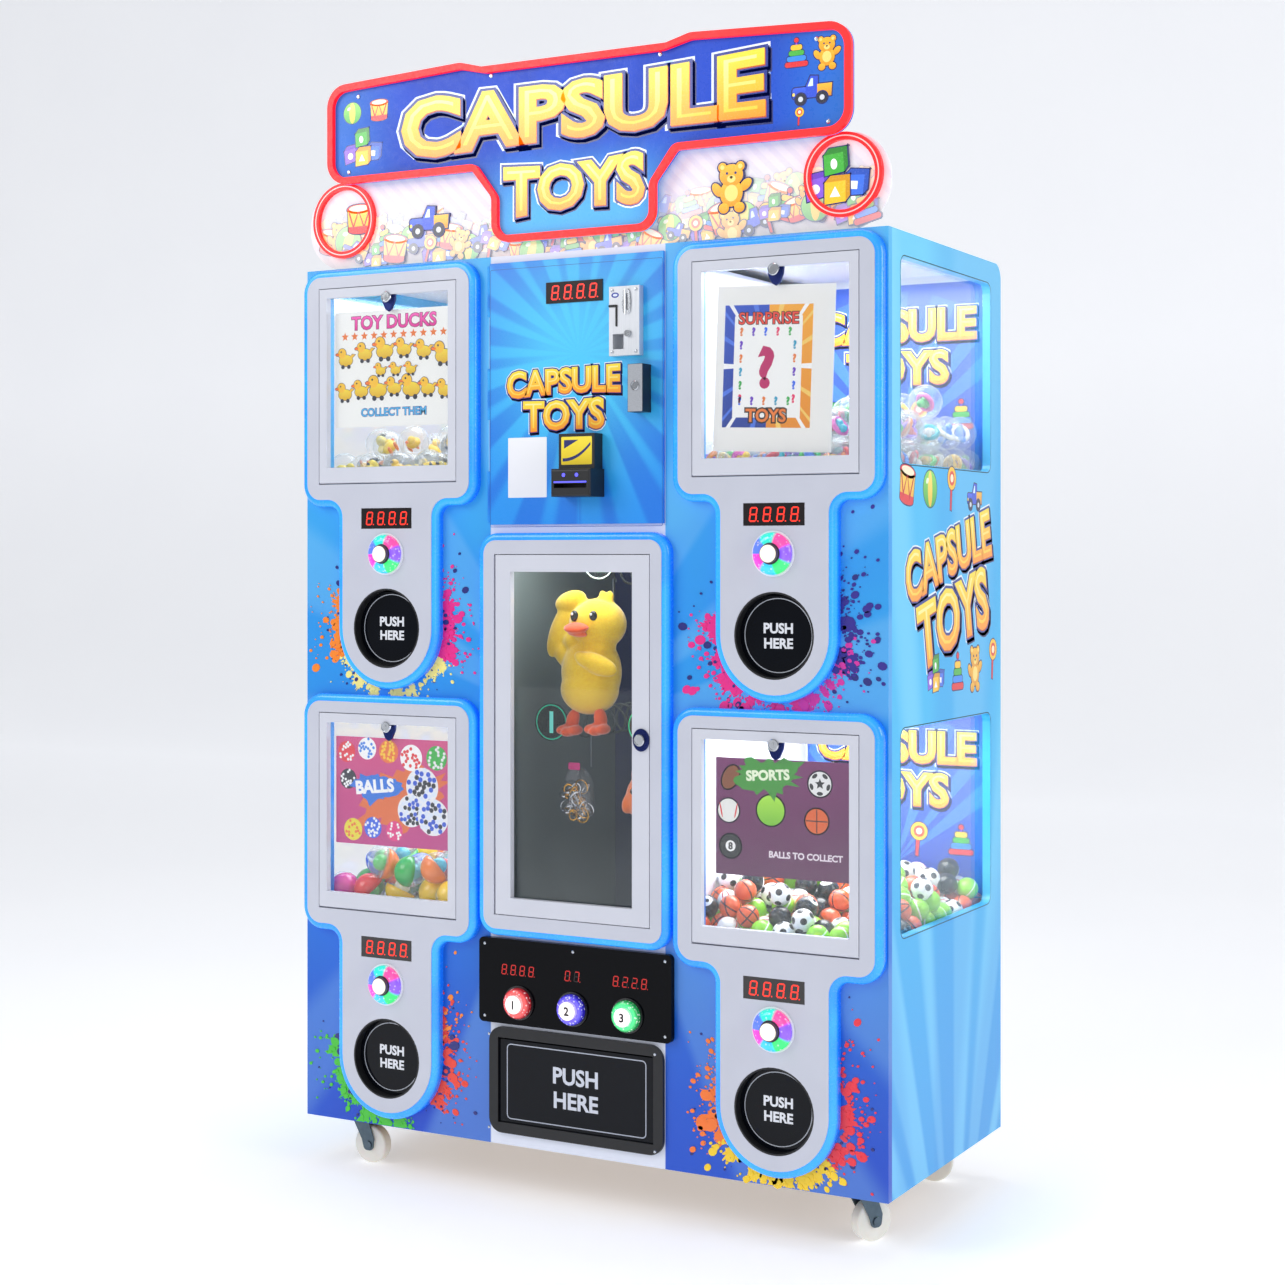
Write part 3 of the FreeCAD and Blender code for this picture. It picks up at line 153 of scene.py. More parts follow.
def layered(tree, base, coats):
    """Colour output: base, with each (mask, colour) of coats laid over it in turn."""
    for mask, colour in coats:
        base = add(tree, "Mix", {0: mask, 6: base, 7: colour},
                   data_type="RGBA").outputs[2]
    return base


print("linear white", linear("#FFFFFF"))

# %% [markdown]
# Real surfaces are never one flat colour. `material` is the one recipe behind every finish
# here: two close shades mixed by a soft noise of patch_mm, a fine grain of grain_mm that
# varies the roughness and lifts the surface by bump_mm, and the Principled shader. A print or
# a lit part hands in a function that paints its own colour instead of the two shades.

# %% The finish recipe
def material(name, paint, roughness, grain_mm=2.0, bump_mm=0.0, patch_mm=90.0, glow=0.0,
             **sockets):
    """Principled material; an underscore in a socket's name stands for a space."""
    made = bpy.data.materials.new(name)
    made.use_nodes = True
    tree = made.node_tree
    tree.nodes.clear()
    place = add(tree, "TexCoord").outputs["Object"]
    if callable(paint):
        colour = paint(tree, place)
    else:
        patch = add(tree, "TexNoise", {"Vector": place, "Scale": 1000 / patch_mm})
        colour = layered(tree, linear(paint[0]), [(patch.outputs[0], linear(paint[1]))])
    grain = add(tree, "TexNoise", {"Vector": place, "Scale": 1000 / grain_mm})
    rough = add(tree, "MapRange", {"Value": grain.outputs[0], "From Min": 0.3,
                "From Max": 0.7, "To Min": roughness * 0.8, "To Max": roughness * 1.2})
    shader = add(tree, "BsdfPrincipled",
                 {"Base Color": colour, "Roughness": rough.outputs[0]})
    for socket, value in sockets.items():
        shader.inputs[socket.replace("_", " ")].default_value = value
    if glow:
        tree.links.new(colour, shader.inputs["Emission Color"])
        shader.inputs["Emission Strength"].default_value = glow
    if bump_mm:
        bump = add(tree, "Bump", {"Height": grain.outputs[0],
                                            "Distance": bump_mm * MM, "Strength": 0.6})
        tree.links.new(bump.outputs[0], shader.inputs["Normal"])
    add(tree, "OutputMaterial", {"Surface": shader.outputs[0]})
    return made


def dress(mat, *nodes):
    """Put one finish on CAD nodes; their meshes stay as they are."""
    for node in nodes:
        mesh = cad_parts[node].data
        mesh.materials.clear()
        mesh.materials.append(mat)
    return mat


def finish(nodes, *recipe, **sockets):
    """Make a finish and put it on its nodes; name_* stands for name_1 to name_4."""
    each = [node.replace("*", str(n)) for node in nodes.split()
            for n in (EACH_STATION if "*" in node else (1,))]
    return dress(material(*recipe, **sockets), *each)


print("recipe ready")

# %% [markdown]
# Each finish is named for the real material. Laminate and powder coat are even and half
# dull, raw fibreboard is coarse and matt, and moulded ABS has a fine spark grain. Polished
# acrylic gives one sharp, weak reflection, so its grain is coarse and its roughness low. Zinc
# plating is blotchy grey metal, chrome is clean and bright, and nylon lets a little light in.

# %% Plain finishes of the boards, plastics and metals
finish("top_and_back_panels inner_walls", "white_melamine_board", ("#E9EBF2", "#DEE2EC"), 0.38,
       3.0, 0.02)
finish("base_panel", "raw_fibreboard", ("#A98C66", "#8F7451"), 0.8, 1.2, 0.2, 20)
finish("window_bezels", "satin_grey_lacquer", ("#CDD0DC", "#C2C5D2"), 0.33, 1.5, 0.02,
       Coat_Weight=0.25, Coat_Roughness=0.2)
finish("centre_door station_door_*", "powder_coated_door_frame", ("#D6D8E2", "#CCCFDA"), 0.36,
       0.9, 0.04)
black_abs = finish("power_inlet prize_chutes flap_surrounds bill_acceptor",
                   "moulded_black_abs", ("#15161A", "#0C0D10"), 0.42, 0.8, 0.05, 40)
finish("control_panel", "polished_black_acrylic", ("#05060A", "#030408"), 0.1, 30.0,
       Specular_IOR_Level=0.1)
finish("centre_prize_flap prize_flap_*", "smoked_acrylic_flap", ("#070B14", "#04070E"), 0.1,
       25.0, Specular_IOR_Level=0.2)
zinc = finish("drive_motors", "zinc_plated_steel", ("#8C979E", "#6E7A82"), 0.34, 4.0, 0.03, 12,
              Metallic=1.0)
finish("caster_fork_*", "blue_zinc_pressing", ("#66757F", "#4D5B65"), 0.36, 5.0, 0.05, 14,
       Metallic=0.85)
chrome = finish("coin_reject_button", "bright_chrome", ("#D8DBDF", "#C6CACF"), 0.1, 20.0,
                Metallic=1.0)
finish("caster_plates", "black_coated_steel", ("#1B1D20", "#101114"), 0.45, 1.0, 0.05)
finish("caster_wheel_*", "moulded_nylon_wheel", ("#F3F0E8", "#E6E2D8"), 0.4, 2.0, 0.03, 25,
       Subsurface_Weight=0.1)
finish("dispenser_disc_*", "moulded_pale_abs", ("#E4E6EC", "#D3D6DE"), 0.4, 2.0, 0.03)
finish("prize_spiral_1 prize_spiral_2 prize_spiral_3", "black_spring_wire",
       ("#6A7274", "#4C5356"), 0.3, 2.0, 0.02, 15, Metallic=0.6)
finish("sign_brackets", "painted_bracket", ("#C9CDD4", "#B7BCC5"), 0.4, 1.2, 0.04)
finish("station_displays", "dark_red_display_filter", ("#120406", "#0A0203"), 0.12, 20.0,
       Coat_Weight=0.5)
print("plain finishes", len(bpy.data.materials))

# %% [markdown]
# ### Printed vinyl
# The cabinet wears printed film: a blue sky that darkens towards the floor, with pale rays
# that fan out of one point. A ray pattern is the sine of the angle round that point, squared
# off by a steep ramp, and a second sine of another count keeps the fan from looking regular.

# %% Ray fans and fades
def coordinate(tree, place, axis):
    """One of the three coordinates, as an output."""
    return add(tree, "SeparateXYZ", {0: place}).outputs["XYZ".index(axis)]


def fade(tree, value, start, end, low=0.0, high=1.0):
    """Mask that runs smoothly from low to high as value goes from start to end."""
    return add(tree, "MapRange", {"Value": value, "From Min": start, "From Max": end,
               "To Min": low, "To Max": high}, interpolation_type="SMOOTHSTEP").outputs[0]


def rays(tree, across, up, centre, count, strength, sharp=0.35):
    """Fan mask: sin(count * angle) plus a slower sine, cut to soft-edged bands."""
    x = add(tree, "Math", {0: across, 1: centre[0] * MM}, operation="SUBTRACT")
    z = add(tree, "Math", {0: up, 1: centre[1] * MM}, operation="SUBTRACT")
    angle = add(tree, "Math", {0: x.outputs[0], 1: z.outputs[0]},
                operation="ARCTAN2").outputs[0]
    waves = []
    for turns, size in ((count, 1.0), (count * 0.37, 0.6)):
        turned = add(tree, "Math", {0: angle, 1: turns}, operation="MULTIPLY")
        wave = add(tree, "Math", {0: turned.outputs[0]}, operation="SINE")
        waves.append(add(tree, "Math", {0: wave.outputs[0], 1: size},
                         operation="MULTIPLY").outputs[0])
    total = add(tree, "Math", {0: waves[0], 1: waves[1]}, operation="ADD")
    return fade(tree, total.outputs[0], -sharp, sharp, 0.0, strength)


def front_print(tree, place):
    """Pale sky at the top, deep blue at the foot, faint wide rays, white centre column."""
    x, z = coordinate(tree, place, "X"), coordinate(tree, place, "Z")
    low = fade(tree, z, 1.05, 0.1)
    high = fade(tree, z, 0.95, 1.75)
    column = add(tree, "Math", {0: x}, operation="ABSOLUTE").outputs[0]
    return layered(tree, linear("#1C98E8"), [
        (low, linear("#0648C6")), (high, linear("#3DB6F0")),
        (rays(tree, x, z, (0, 900), 15, 0.16), linear("#A8E8FF")),
        (rays(tree, x, z, (-80, 1000), 7, 0.14), linear("#0A6FE6")),
        (fade(tree, column, 0.1915, 0.1885), linear("#E3E8F6"))])


def side_print(tree, place):
    """Light cyan with long soft rays that climb from low on the panel."""
    y, z = coordinate(tree, place, "Y"), coordinate(tree, place, "Z")
    return layered(tree, linear("#38BCF2"), [
        (fade(tree, z, 0.9, 0.1), linear("#24A2EA")), (fade(tree, z, 1.2, 1.8), linear("#62CEF6")),
        (rays(tree, y, z, (60, -260), 27, 0.42, 0.5), linear("#8FE2FF")),
        (rays(tree, y, z, (-40, -320), 16, 0.34, 0.6), linear("#1490E2"))])


def coin_door_print(tree, place):
    """Sunburst: cyan in the middle, deeper blue towards the corners."""
    x, z = coordinate(tree, place, "X"), coordinate(tree, place, "Z")
    centre = (10, TOP - 195)
    middle = add(tree, "CombineXYZ", {0: centre[0] * MM, 2: centre[1] * MM})
    spot = add(tree, "CombineXYZ", {0: x, 2: z})
    away = add(tree, "VectorMath", {0: spot.outputs[0], 1: middle.outputs[0]},
               operation="DISTANCE").outputs["Value"]
    burst = rays(tree, x, z, centre, 22, 1.0, 0.5)
    far = fade(tree, away, 0.05, 0.34)
    strong = add(tree, "Math", {0: burst, 1: fade(tree, away, 0.02, 0.26, 0.05, 0.6)},
                 operation="MULTIPLY").outputs[0]
    return layered(tree, linear("#46CCFB"), [(far, linear("#2196F0")),
                                             (strong, linear("#0B62DA"))])


def upper_sign_print(tree, place):
    """Royal blue with a paler glow low in the middle and loose rays."""
    x, z = coordinate(tree, place, "X"), coordinate(tree, place, "Z")
    column = add(tree, "Math", {0: x}, operation="ABSOLUTE").outputs[0]
    foot = fade(tree, z, 2.03, 1.86)
    glow = add(tree, "Math", {0: foot, 1: fade(tree, column, 0.3, 0.1)},
               operation="MULTIPLY").outputs[0]
    return layered(tree, linear("#0F49CC"), [
        (rays(tree, x, z, (0, 1700), 19, 0.5, 0.6), linear("#0D3FB8")),
        (fade(tree, column, 0.36, 0.56, 0.0, 0.35), linear("#49A8F4")),
        (glow, linear("#58B9F8"))])


def sign_print(tree, place):
    """Both boards share one node: the one in front is blue, the one behind is pale."""
    y = coordinate(tree, place, "Y")
    x, z = coordinate(tree, place, "X"), coordinate(tree, place, "Z")
    slope = add(tree, "Math", {0: x, 1: z}, operation="ADD").outputs[0]
    stripe = add(tree, "Math", {0: slope, 1: 190.0}, operation="MULTIPLY")
    wave = add(tree, "Math", {0: stripe.outputs[0]}, operation="SINE").outputs[0]
    pale = layered(tree, linear("#F4F3FA"), [
        (fade(tree, wave, -0.4, 0.6, 0.0, 0.5), linear("#E3E2EF")),
        (fade(tree, z, 1.88, 1.80, 0.0, 0.6), linear("#E8D9CB"))])
    split = (FRONT + 5.0) * MM
    return layered(tree, pale, [(fade(tree, y, split, split - 0.001),
                                 upper_sign_print(tree, place))])


film = dict(grain_mm=1.4, bump_mm=0.015, Coat_Weight=0.1, Coat_Roughness=0.15)
finish("front_panel", "printed_front_vinyl", front_print, 0.36, **film)
finish("side_panels", "printed_side_vinyl", side_print, 0.36, **film)
finish("coin_door", "printed_door_sheet", coin_door_print, 0.3, **film)
finish("sign_boards", "printed_sign_acrylic", sign_print, 0.3, 8.0, 0.0, glow=0.12,
       Specular_IOR_Level=0.3)
print("prints", [m.name for m in bpy.data.materials if m.name.startswith("printed")])

# %% [markdown]
# ### Lit plastics and glass
# The strips round the bezels and the sign's border are translucent plastic with lamps
# behind, so they give a little light of their own. Glass is a clear sheet whose alpha
# follows its gloss: nearly gone seen straight on, a mirror seen along its face.

# %% Light edges, neon and glass
def edge_paint(tree, place):
    """Painted highlight, bright cyan towards the rim; deeper blue where the strip meets the panel.
    """
    y = coordinate(tree, place, "Y")
    noise = add(tree, "TexNoise", {"Vector": place, "Scale": 9.0})
    return layered(tree, linear("#0F74EA"), [
        (fade(tree, y, (FRONT - 6) * MM, (FRONT - 19.5) * MM), linear("#2BA6FF")),
        (fade(tree, noise.outputs[0], 0.4, 0.7, 0.0, 0.4), linear("#0A6CF0"))])


finish("bezel_light_edges", "lit_blue_acrylic_edge", edge_paint, 0.25, 6.0, glow=0.3,
       Coat_Weight=0.4)
finish("sign_neon_tubes", "lit_red_silicone_tube", ("#FF1416", "#F20A10"), 0.35, 6.0, glow=0.75)


def clear_sheet(name, tint, haze, metal=1.0):
    """Thin clear sheet: alpha is Schlick's 0.04 + 0.96 (1 - cos a) ** 5, plus a little haze."""
    made = bpy.data.materials.new(name)
    made.use_nodes = True
    tree = made.node_tree
    tree.nodes.clear()
    place = add(tree, "TexCoord").outputs["Object"]
    dust = add(tree, "TexNoise", {"Vector": place, "Scale": 14.0, "Detail": 4.0})
    film_haze = fade(tree, dust.outputs[0], 0.35, 0.75, haze * 0.6, haze)
    facing = add(tree, "LayerWeight", {"Blend": 0.5}).outputs["Facing"]
    grazing = add(tree, "Math", {0: facing, 1: 5.0}, operation="POWER").outputs[0]
    mirror = add(tree, "Math", {0: grazing, 1: 0.96, 2: 0.04},
                 operation="MULTIPLY_ADD").outputs[0]
    alpha = add(tree, "Math", {0: mirror, 1: film_haze}, operation="ADD")
    shader = add(tree, "BsdfPrincipled", {"Base Color": linear(tint),
                 "Metallic": metal, "Roughness": 0.03, "Alpha": alpha.outputs[0]})
    add(tree, "OutputMaterial", {"Surface": shader.outputs[0]})
    return made


dress(clear_sheet("tempered_glass", "#EAF4F6", 0.012), "centre_glass",
      *["station_glass_%d" % n for n in EACH_STATION])
dress(clear_sheet("clear_cast_acrylic", "#DCEFF8", 0.015), "side_windows")
capsule_clear = clear_sheet("clear_capsule_shell", "#F4FAFC", 0.13, 0.25)
print("clear sheets", [m.name for m in bpy.data.materials if "clear" in m.name])

# %% [markdown]
# ### Push buttons
# A play button is a clear ring with colour-changing lamps under it round a milky cap. The
# ring's colours are sectors of the angle round the button's own centre, so each button has
# its own copy of the finish with that centre written in.

# %% Lit button finishes
RING_COLOURS = ("#FF3FC8", "#37C8FF", "#38F07A", "#8A5BFF", "#FF4FA0", "#2EE6D0", "#5A7BFF")


def around(tree, place, centre):
    """Distance from and angle round a button's centre, both as outputs."""
    x = add(tree, "Math", {0: coordinate(tree, place, "X"), 1: centre[0] * MM},
            operation="SUBTRACT").outputs[0]
    z = add(tree, "Math", {0: coordinate(tree, place, "Z"), 1: centre[2] * MM},
            operation="SUBTRACT").outputs[0]
    spot = add(tree, "CombineXYZ", {0: x, 1: z}).outputs[0]
    away = add(tree, "VectorMath", {0: spot}, operation="LENGTH").outputs["Value"]
    angle = add(tree, "Math", {0: z, 1: x}, operation="ARCTAN2").outputs[0]
    return away, angle


def play_paint(centre):
    """Painter for the play button at this centre."""
    def paint(tree, place):
        """Milky cap, dark groove, coloured sectors broken up by lamp dots, pale rim."""
        away, angle = around(tree, place, centre)
        step = 2 * math.pi / len(RING_COLOURS)
        coats = []
        for k, shade in enumerate(RING_COLOURS):
            start = -math.pi + k * step
            coats.append((fade(tree, angle, start - 0.12, start + 0.12), linear(shade)))
        base = layered(tree, linear(RING_COLOURS[-1]), coats)
        dots = add(tree, "TexVoronoi", {"Vector": place, "Scale": 140.0})
        return layered(tree, base, [
            (fade(tree, dots.outputs["Distance"], 0.35, 0.1, 0.0, 0.4), linear("#FFE6FF")),
            (fade(tree, away, 0.0200, 0.0190), linear("#3A3640")),
            (fade(tree, away, 0.0160, 0.0152), linear("#F5EBD8")),
            (fade(tree, away, 0.0110, 0.0080, 0.0, 0.8), linear("#FFFFFF"))])
    return paint


def select_paint(centre, shade, deep):
    """Painter for the select button at this centre, in its two shades."""
    def paint(tree, place):
        """Coloured dome, darker towards its foot, round a nearly white lit cap."""
        away, _ = around(tree, place, centre)
        dots = add(tree, "TexVoronoi", {"Vector": place, "Scale": 170.0})
        return layered(tree, linear(shade), [
            (fade(tree, away, 0.020, 0.030), linear(deep)),
            (fade(tree, dots.outputs["Distance"], 0.4, 0.1, 0.0, 0.45), linear("#FFFFFF")),
            (fade(tree, away, 0.0178, 0.0170), linear("#FFF4F2"))])
    return paint


def centre_of(node):
    """Middle of a CAD node's box."""
    low, high = span(node)
    return (low + high) / 2


for n in DOORS:
    name = "play_button_%d" % n
    finish(name, "lit_" + name, play_paint(centre_of(name)), 0.18, 6.0, glow=0.4,
           Coat_Weight=0.3)
for n, shade, deep in ((1, "#FF5A5A", "#8E0F1C"), (2, "#6A5CFF", "#1E1794"),
                       (3, "#4CF08A", "#0B7A3A")):
    name = "select_button_%d" % n
    finish(name, "lit_" + name, select_paint(centre_of(name), shade, deep), 0.16, 6.0,
           glow=0.65, Coat_Weight=0.5)


def housing_paint(tree, place):
    """Pale rims on the bezels, dark rims on the black panel in the middle column."""
    x = add(tree, "Math", {0: coordinate(tree, place, "X")}, operation="ABSOLUTE")
    return layered(tree, linear("#EEF0F6"), [(fade(tree, x.outputs[0], 0.30, 0.25),
                                              linear("#17181C"))])


finish("button_housings", "moulded_button_rim", housing_paint, 0.3, 2.0, 0.02,
       Coat_Weight=0.3)
print("button finishes", len([m for m in bpy.data.materials if "button" in m.name]))


# %% [markdown]
# ### The coin door's fittings
# The coin acceptor's plate and the lock box are steel, and the credit display beside them is
# a dark filter. They share one node, so the finish picks by height and by side. Brushing is a
# noise drawn out along the strokes: fine across them, 50 times longer along them.

# %% Steel plate, dark box and display
def fittings_paint(tree, place):
    """Brushed steel, except the credit display, which is dark red filter."""
    z = coordinate(tree, place, "Z")
    x = coordinate(tree, place, "X")
    stretched = add(tree, "Mapping", {0: place, "Scale": (900.0, 900.0, 18.0)})
    streaks = add(tree, "TexNoise", {"Vector": stretched.outputs[0], "Scale": 1.0})
    steel = layered(tree, linear("#E4E6EA"), [(streaks.outputs[0], linear("#BDC1C8"))])
    beside = fade(tree, x, 0.0760, 0.0740)
    return layered(tree, steel, [(beside, linear("#120406")),
                                 (fade(tree, z, (TOP - 214) * MM, (TOP - 216) * MM),
                                  linear("#23252B"))])


finish("coin_door_fittings", "coin_fitting_steel", fittings_paint, 0.34, 1.0, 0.03,
       Metallic=0.35)
print("every CAD node dressed:", all(o.data.materials and o.data.materials[0]
                                     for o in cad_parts.values()))

# %% [markdown]
# ### Floor
# A sheet of paper that sweeps up behind the cabinet hides the corner between floor and wall.

# %% Floor and backdrop
def backdrop():
    """Floor that sweeps up behind in a wide quarter round: flat, arc, then upright."""
    depth, rise, bend = 9.0, 6.0, 2.5
    turn = np.linspace(0, math.pi / 2, 16)
    y = np.concatenate([[-14.0], depth - bend + bend * np.sin(turn), [depth]])
    z = np.concatenate([[0.0], bend - bend * np.cos(turn), [rise]])
    x = np.array([-16.0, 16.0])
    grid = np.stack([np.tile(x, len(y)), np.repeat(y, 2), np.repeat(z, 2)], axis=1)
    row = np.arange(len(y) - 1) * 2
    faces = np.stack([row, row + 1, row + 3, row + 2], axis=1)
    mesh = bpy.data.meshes.new("floor")
    mesh.from_pydata(grid.tolist(), [], faces.tolist())
    mesh.polygons.foreach_set("use_smooth", [True] * len(faces))
    made = bpy.data.objects.new("floor", mesh)
    SHARED.collection.objects.link(made)
    return made


floor = backdrop()
floor.data.materials.append(material("pale_studio_floor", ("#F8F9FB", "#F4F5F8"), 0.6,
                                     40.0, patch_mm=900, glow=0.36))
print("floor faces", len(floor.data.polygons))

# %% [markdown]
# ## Printed pictures
# Every picture on the cabinet is cut from thin film, like sign-maker's vinyl: each colour is
# a closed plate a few hundredths thicker than the one below it, so the stack reads as a
# print and still is real geometry. A shape is a list of points on a flat sheet in
# millimetres; `sheet_of_art` lays a whole picture on a plane as one mesh, and the colour of
# each plate rides in a point attribute called "ink" that one material reads.

# %% Outlines as arrays
def oval(x, y, rx, ry=None, turn=0.0, sides=28):
    """Points (x + rx cos a, y + ry sin a), turned by turn degrees."""
    a = np.linspace(0, 2 * np.pi, sides, endpoint=False)
    ry = rx if ry is None else ry
    return spun(np.stack([rx * np.cos(a), ry * np.sin(a)], axis=1), turn) + (x, y)


def spun(points, degrees):
    """Rotate about the origin: (x cos t - y sin t, x sin t + y cos t)."""
    t = math.radians(degrees)
    return points @ np.array([[math.cos(t), math.sin(t)], [-math.sin(t), math.cos(t)]])


def rounded(x0, y0, x1, y1, radius=0.0, steps=5):
    """Rectangle whose corners are quarter circles of the radius."""
    if radius <= 0:
        return np.array([(x0, y0), (x1, y0), (x1, y1), (x0, y1)], float)
    a = np.linspace(0, np.pi / 2, steps)
    quarter = np.stack([np.cos(a), np.sin(a)], axis=1) * radius
    corners = ((x1 - radius, y1 - radius, 0), (x0 + radius, y1 - radius, 90),
               (x0 + radius, y0 + radius, 180), (x1 - radius, y0 + radius, 270))
    return np.concatenate([spun(quarter, t) + (x, y) for x, y, t in corners])


def poly(*points):
    """Outline through the given points."""
    return np.array(points, float)


def area_of(outline):
    """Shoelace formula: half the sum of x_i * y_next - x_next * y_i."""
    x, y = outline.T
    return 0.5 * float(np.sum(x * np.roll(y, -1) - np.roll(x, -1) * y))


def grown(outline, reach):
    """Outline pushed outwards: each point moves along the mean of its two edge normals."""
    outline = outline if area_of(outline) > 0 else outline[::-1]
    edge = np.roll(outline, -1, axis=0) - outline
    normal = np.stack([edge[:, 1], -edge[:, 0]], axis=1)
    normal /= np.maximum(np.linalg.norm(normal, axis=1, keepdims=True), 1e-9)
    both = normal + np.roll(normal, 1, axis=0)
    both /= np.maximum(np.linalg.norm(both, axis=1, keepdims=True), 1e-9)
    lean = np.maximum(np.sum(both * normal, axis=1, keepdims=True), 0.5)
    return outline + both * reach / lean


print("area of a unit circle", round(area_of(oval(0, 0, 1, sides=200)), 3))


# %% Plates of ink
def tint(points, ink):
    """Linear colour of each point: one hex, or two hexes run from the lowest to the top."""
    low, high = (ink, ink) if isinstance(ink, str) else ink
    y = points[:, 1]
    share = (y - y.min()) / max(y.max() - y.min(), 1e-9)
    low, high = np.array(linear(low)), np.array(linear(high))
    return low + (high - low) * share[:, None]


def cut(outline, ink, layer=1):
    """Filled plate: a bottom ring at level 0, a top ring at level 1, two caps and a side."""
    outline = outline if area_of(outline) > 0 else outline[::-1]
    n = len(outline)
    points = np.concatenate([np.column_stack([outline, np.zeros(n)]),
                             np.column_stack([outline, np.ones(n)])])
    i = np.arange(n)
    j = (i + 1) % n
    side = np.stack([i, j, j + n, i + n], axis=1).tolist()
    faces = [i[::-1].tolist(), (i + n).tolist()] + side
    return [(points, faces, tint(points, ink), layer)]


def hoop(outline, width, ink, layer=1):
    """Line of ink that follows the outline, width wide, kept inside it."""
    outline = outline if area_of(outline) > 0 else outline[::-1]
    inner = grown(outline, -width)
    n = len(outline)
    rings = [np.column_stack([ring, np.full(n, level)])
             for level in (0.0, 1.0) for ring in (outline, inner)]
    points = np.concatenate(rings)
    i = np.arange(n)
    j = (i + 1) % n
    faces = [np.stack(quad, axis=1) for quad in (
        (i, j, j + 2 * n, i + 2 * n), (j + n, i + n, i + 3 * n, j + 3 * n),
        (i + 2 * n, j + 2 * n, j + 3 * n, i + 3 * n), (j, i, i + n, j + n))]
    return [(points, np.concatenate(faces).tolist(), tint(points, ink), layer)]


def words(text, height, ink, layer=1, grow=0.0):
    """Letters of Blender's own font as closed plates, centred, their edge pushed by grow."""
    curve = bpy.data.curves.new("letters", "FONT")
    curve.body, curve.align_x, curve.size = text, "CENTER", height / 0.686
    curve.extrude, curve.offset, curve.resolution_u = 0.5, grow, 3
    holder = bpy.data.objects.new("letters", curve)
    SHARED.collection.objects.link(holder)
    bpy.context.view_layer.update()
    flat = bpy.data.meshes.new_from_object(
        holder.evaluated_get(bpy.context.evaluated_depsgraph_get()))
    bpy.data.objects.remove(holder)
    bm = bmesh.new()
    bm.from_mesh(flat)
    bmesh.ops.remove_doubles(bm, verts=bm.verts, dist=0.002)
    bmesh.ops.recalc_face_normals(bm, faces=bm.faces)
    points = np.array([v.co for v in bm.verts]) - (0, height / 2, -0.5)
    faces = [[v.index for v in f.verts] for f in bm.faces]
    bm.free()
    return [(points, faces, tint(points, ink), layer)]


def moved(items, x=0.0, y=0.0, scale=1.0, turn=0.0, pale=0.0, above=0):
    """The same art somewhere else: scaled, turned, shifted, washed towards white."""
    out = []
    for points, faces, ink, layer in items:
        flat = spun(points[:, :2] * scale, turn) + (x, y)
        soft = ink + (1.0 - ink) * pale
        out.append((np.column_stack([flat, points[:, 2]]), faces, soft, layer + above))
    return out


print("a plate has", len(cut(oval(0, 0, 5), "#FFFFFF")[0][0]), "points")


# %% Planes and the sheet
PLY = 0.05                                        # thickness of one layer of film
FACINGS = {
    "front": ((1, 0, 0), (0, 0, 1), (0, -1, 0)),
    "back": ((-1, 0, 0), (0, 0, 1), (0, 1, 0)),
    "right": ((0, 1, 0), (0, 0, 1), (1, 0, 0)),
    "left": ((0, -1, 0), (0, 0, 1), (-1, 0, 0)),
    "up": ((1, 0, 0), (0, 1, 0), (0, 0, 1)),
    "down": ((1, 0, 0), (0, -1, 0), (0, 0, -1)),
}


def place_on(facing, origin, points):
    """origin + u * across + v * up + w * out, with the three directions of the facing."""
    return points @ np.array(FACINGS[facing], float) + np.array(origin, float)


def ink_paint(tree, place):
    """The colour stored on each point."""
    return add(tree, "Attribute", attribute_name="ink").outputs["Color"]


printed_ink = material("printed_ink_film", ink_paint, 0.34, 1.4, Coat_Weight=0.3,
                       Coat_Roughness=0.15)
lit_ink = material("printed_ink_lit_from_behind", ink_paint, 0.25, 4.0, glow=0.25,
                   Coat_Weight=0.5, Coat_Roughness=0.1)


def new_object(name, verts, faces, mat, body, slot, smooth=False):
    """Mesh object at the origin: millimetre points become metres, and it rides on a body."""
    mesh = bpy.data.meshes.new(name)
    mesh.from_pydata((np.asarray(verts, float) * MM).tolist(), [], faces)
    mesh.polygons.foreach_set("use_smooth", [smooth] * len(mesh.polygons))
    made = bpy.data.objects.new(name, mesh)
    SHARED.collection.objects.link(made)
    mesh.materials.append(mat)
    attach(made, body)
    return made


def sheet_of_art(name, plane, origin, items, body="cabinet", slot="printed_front_board",
                 mat=None):
    """All plates of a picture as one mesh; layer k stands k plies off the surface."""
    verts, faces, inks, start = [], [], [], 0
    for points, polygons, ink, layer in items:
        lifted = np.column_stack([points[:, :2], points[:, 2] * PLY * layer])
        verts.append(place_on(plane, origin, lifted))
        faces += [[v + start for v in face] for face in polygons]
        inks.append(ink)
        start += len(points)
    made = new_object(name, np.concatenate(verts), faces, mat or printed_ink, body, slot)
    layer = made.data.attributes.new("ink", "FLOAT_COLOR", "POINT")
    layer.data.foreach_set("color", np.concatenate(inks).ravel())
    print(name, len(made.data.polygons), "faces")
    return made


# %% [markdown]
# ### Toys to print
# The border pictures are plain toys of no make: a ball, a drum, building blocks, a truck, a
# teddy, a ring stacker and a rattle. Each is drawn about the origin, about 100 mm tall, and
# `toy` backs every shape with a slightly larger dark one, which gives the inked outline.

# %% Toy pictures
NAVY, RED, SUN, LEAF, CREAM = "#1A2468", "#E5252E", "#FFC928", "#43B53C", "#FFF3D0"


def toy(*shapes, line=2.6, backing=NAVY):
    """Outlines with inks: first every backing, then the shapes one layer above another."""
    art = [item for outline, _ in shapes for item in cut(grown(outline, line), backing, 1)]
    for k, (outline, ink) in enumerate(shapes):
        art += cut(outline, ink, 2 + k)
    return art


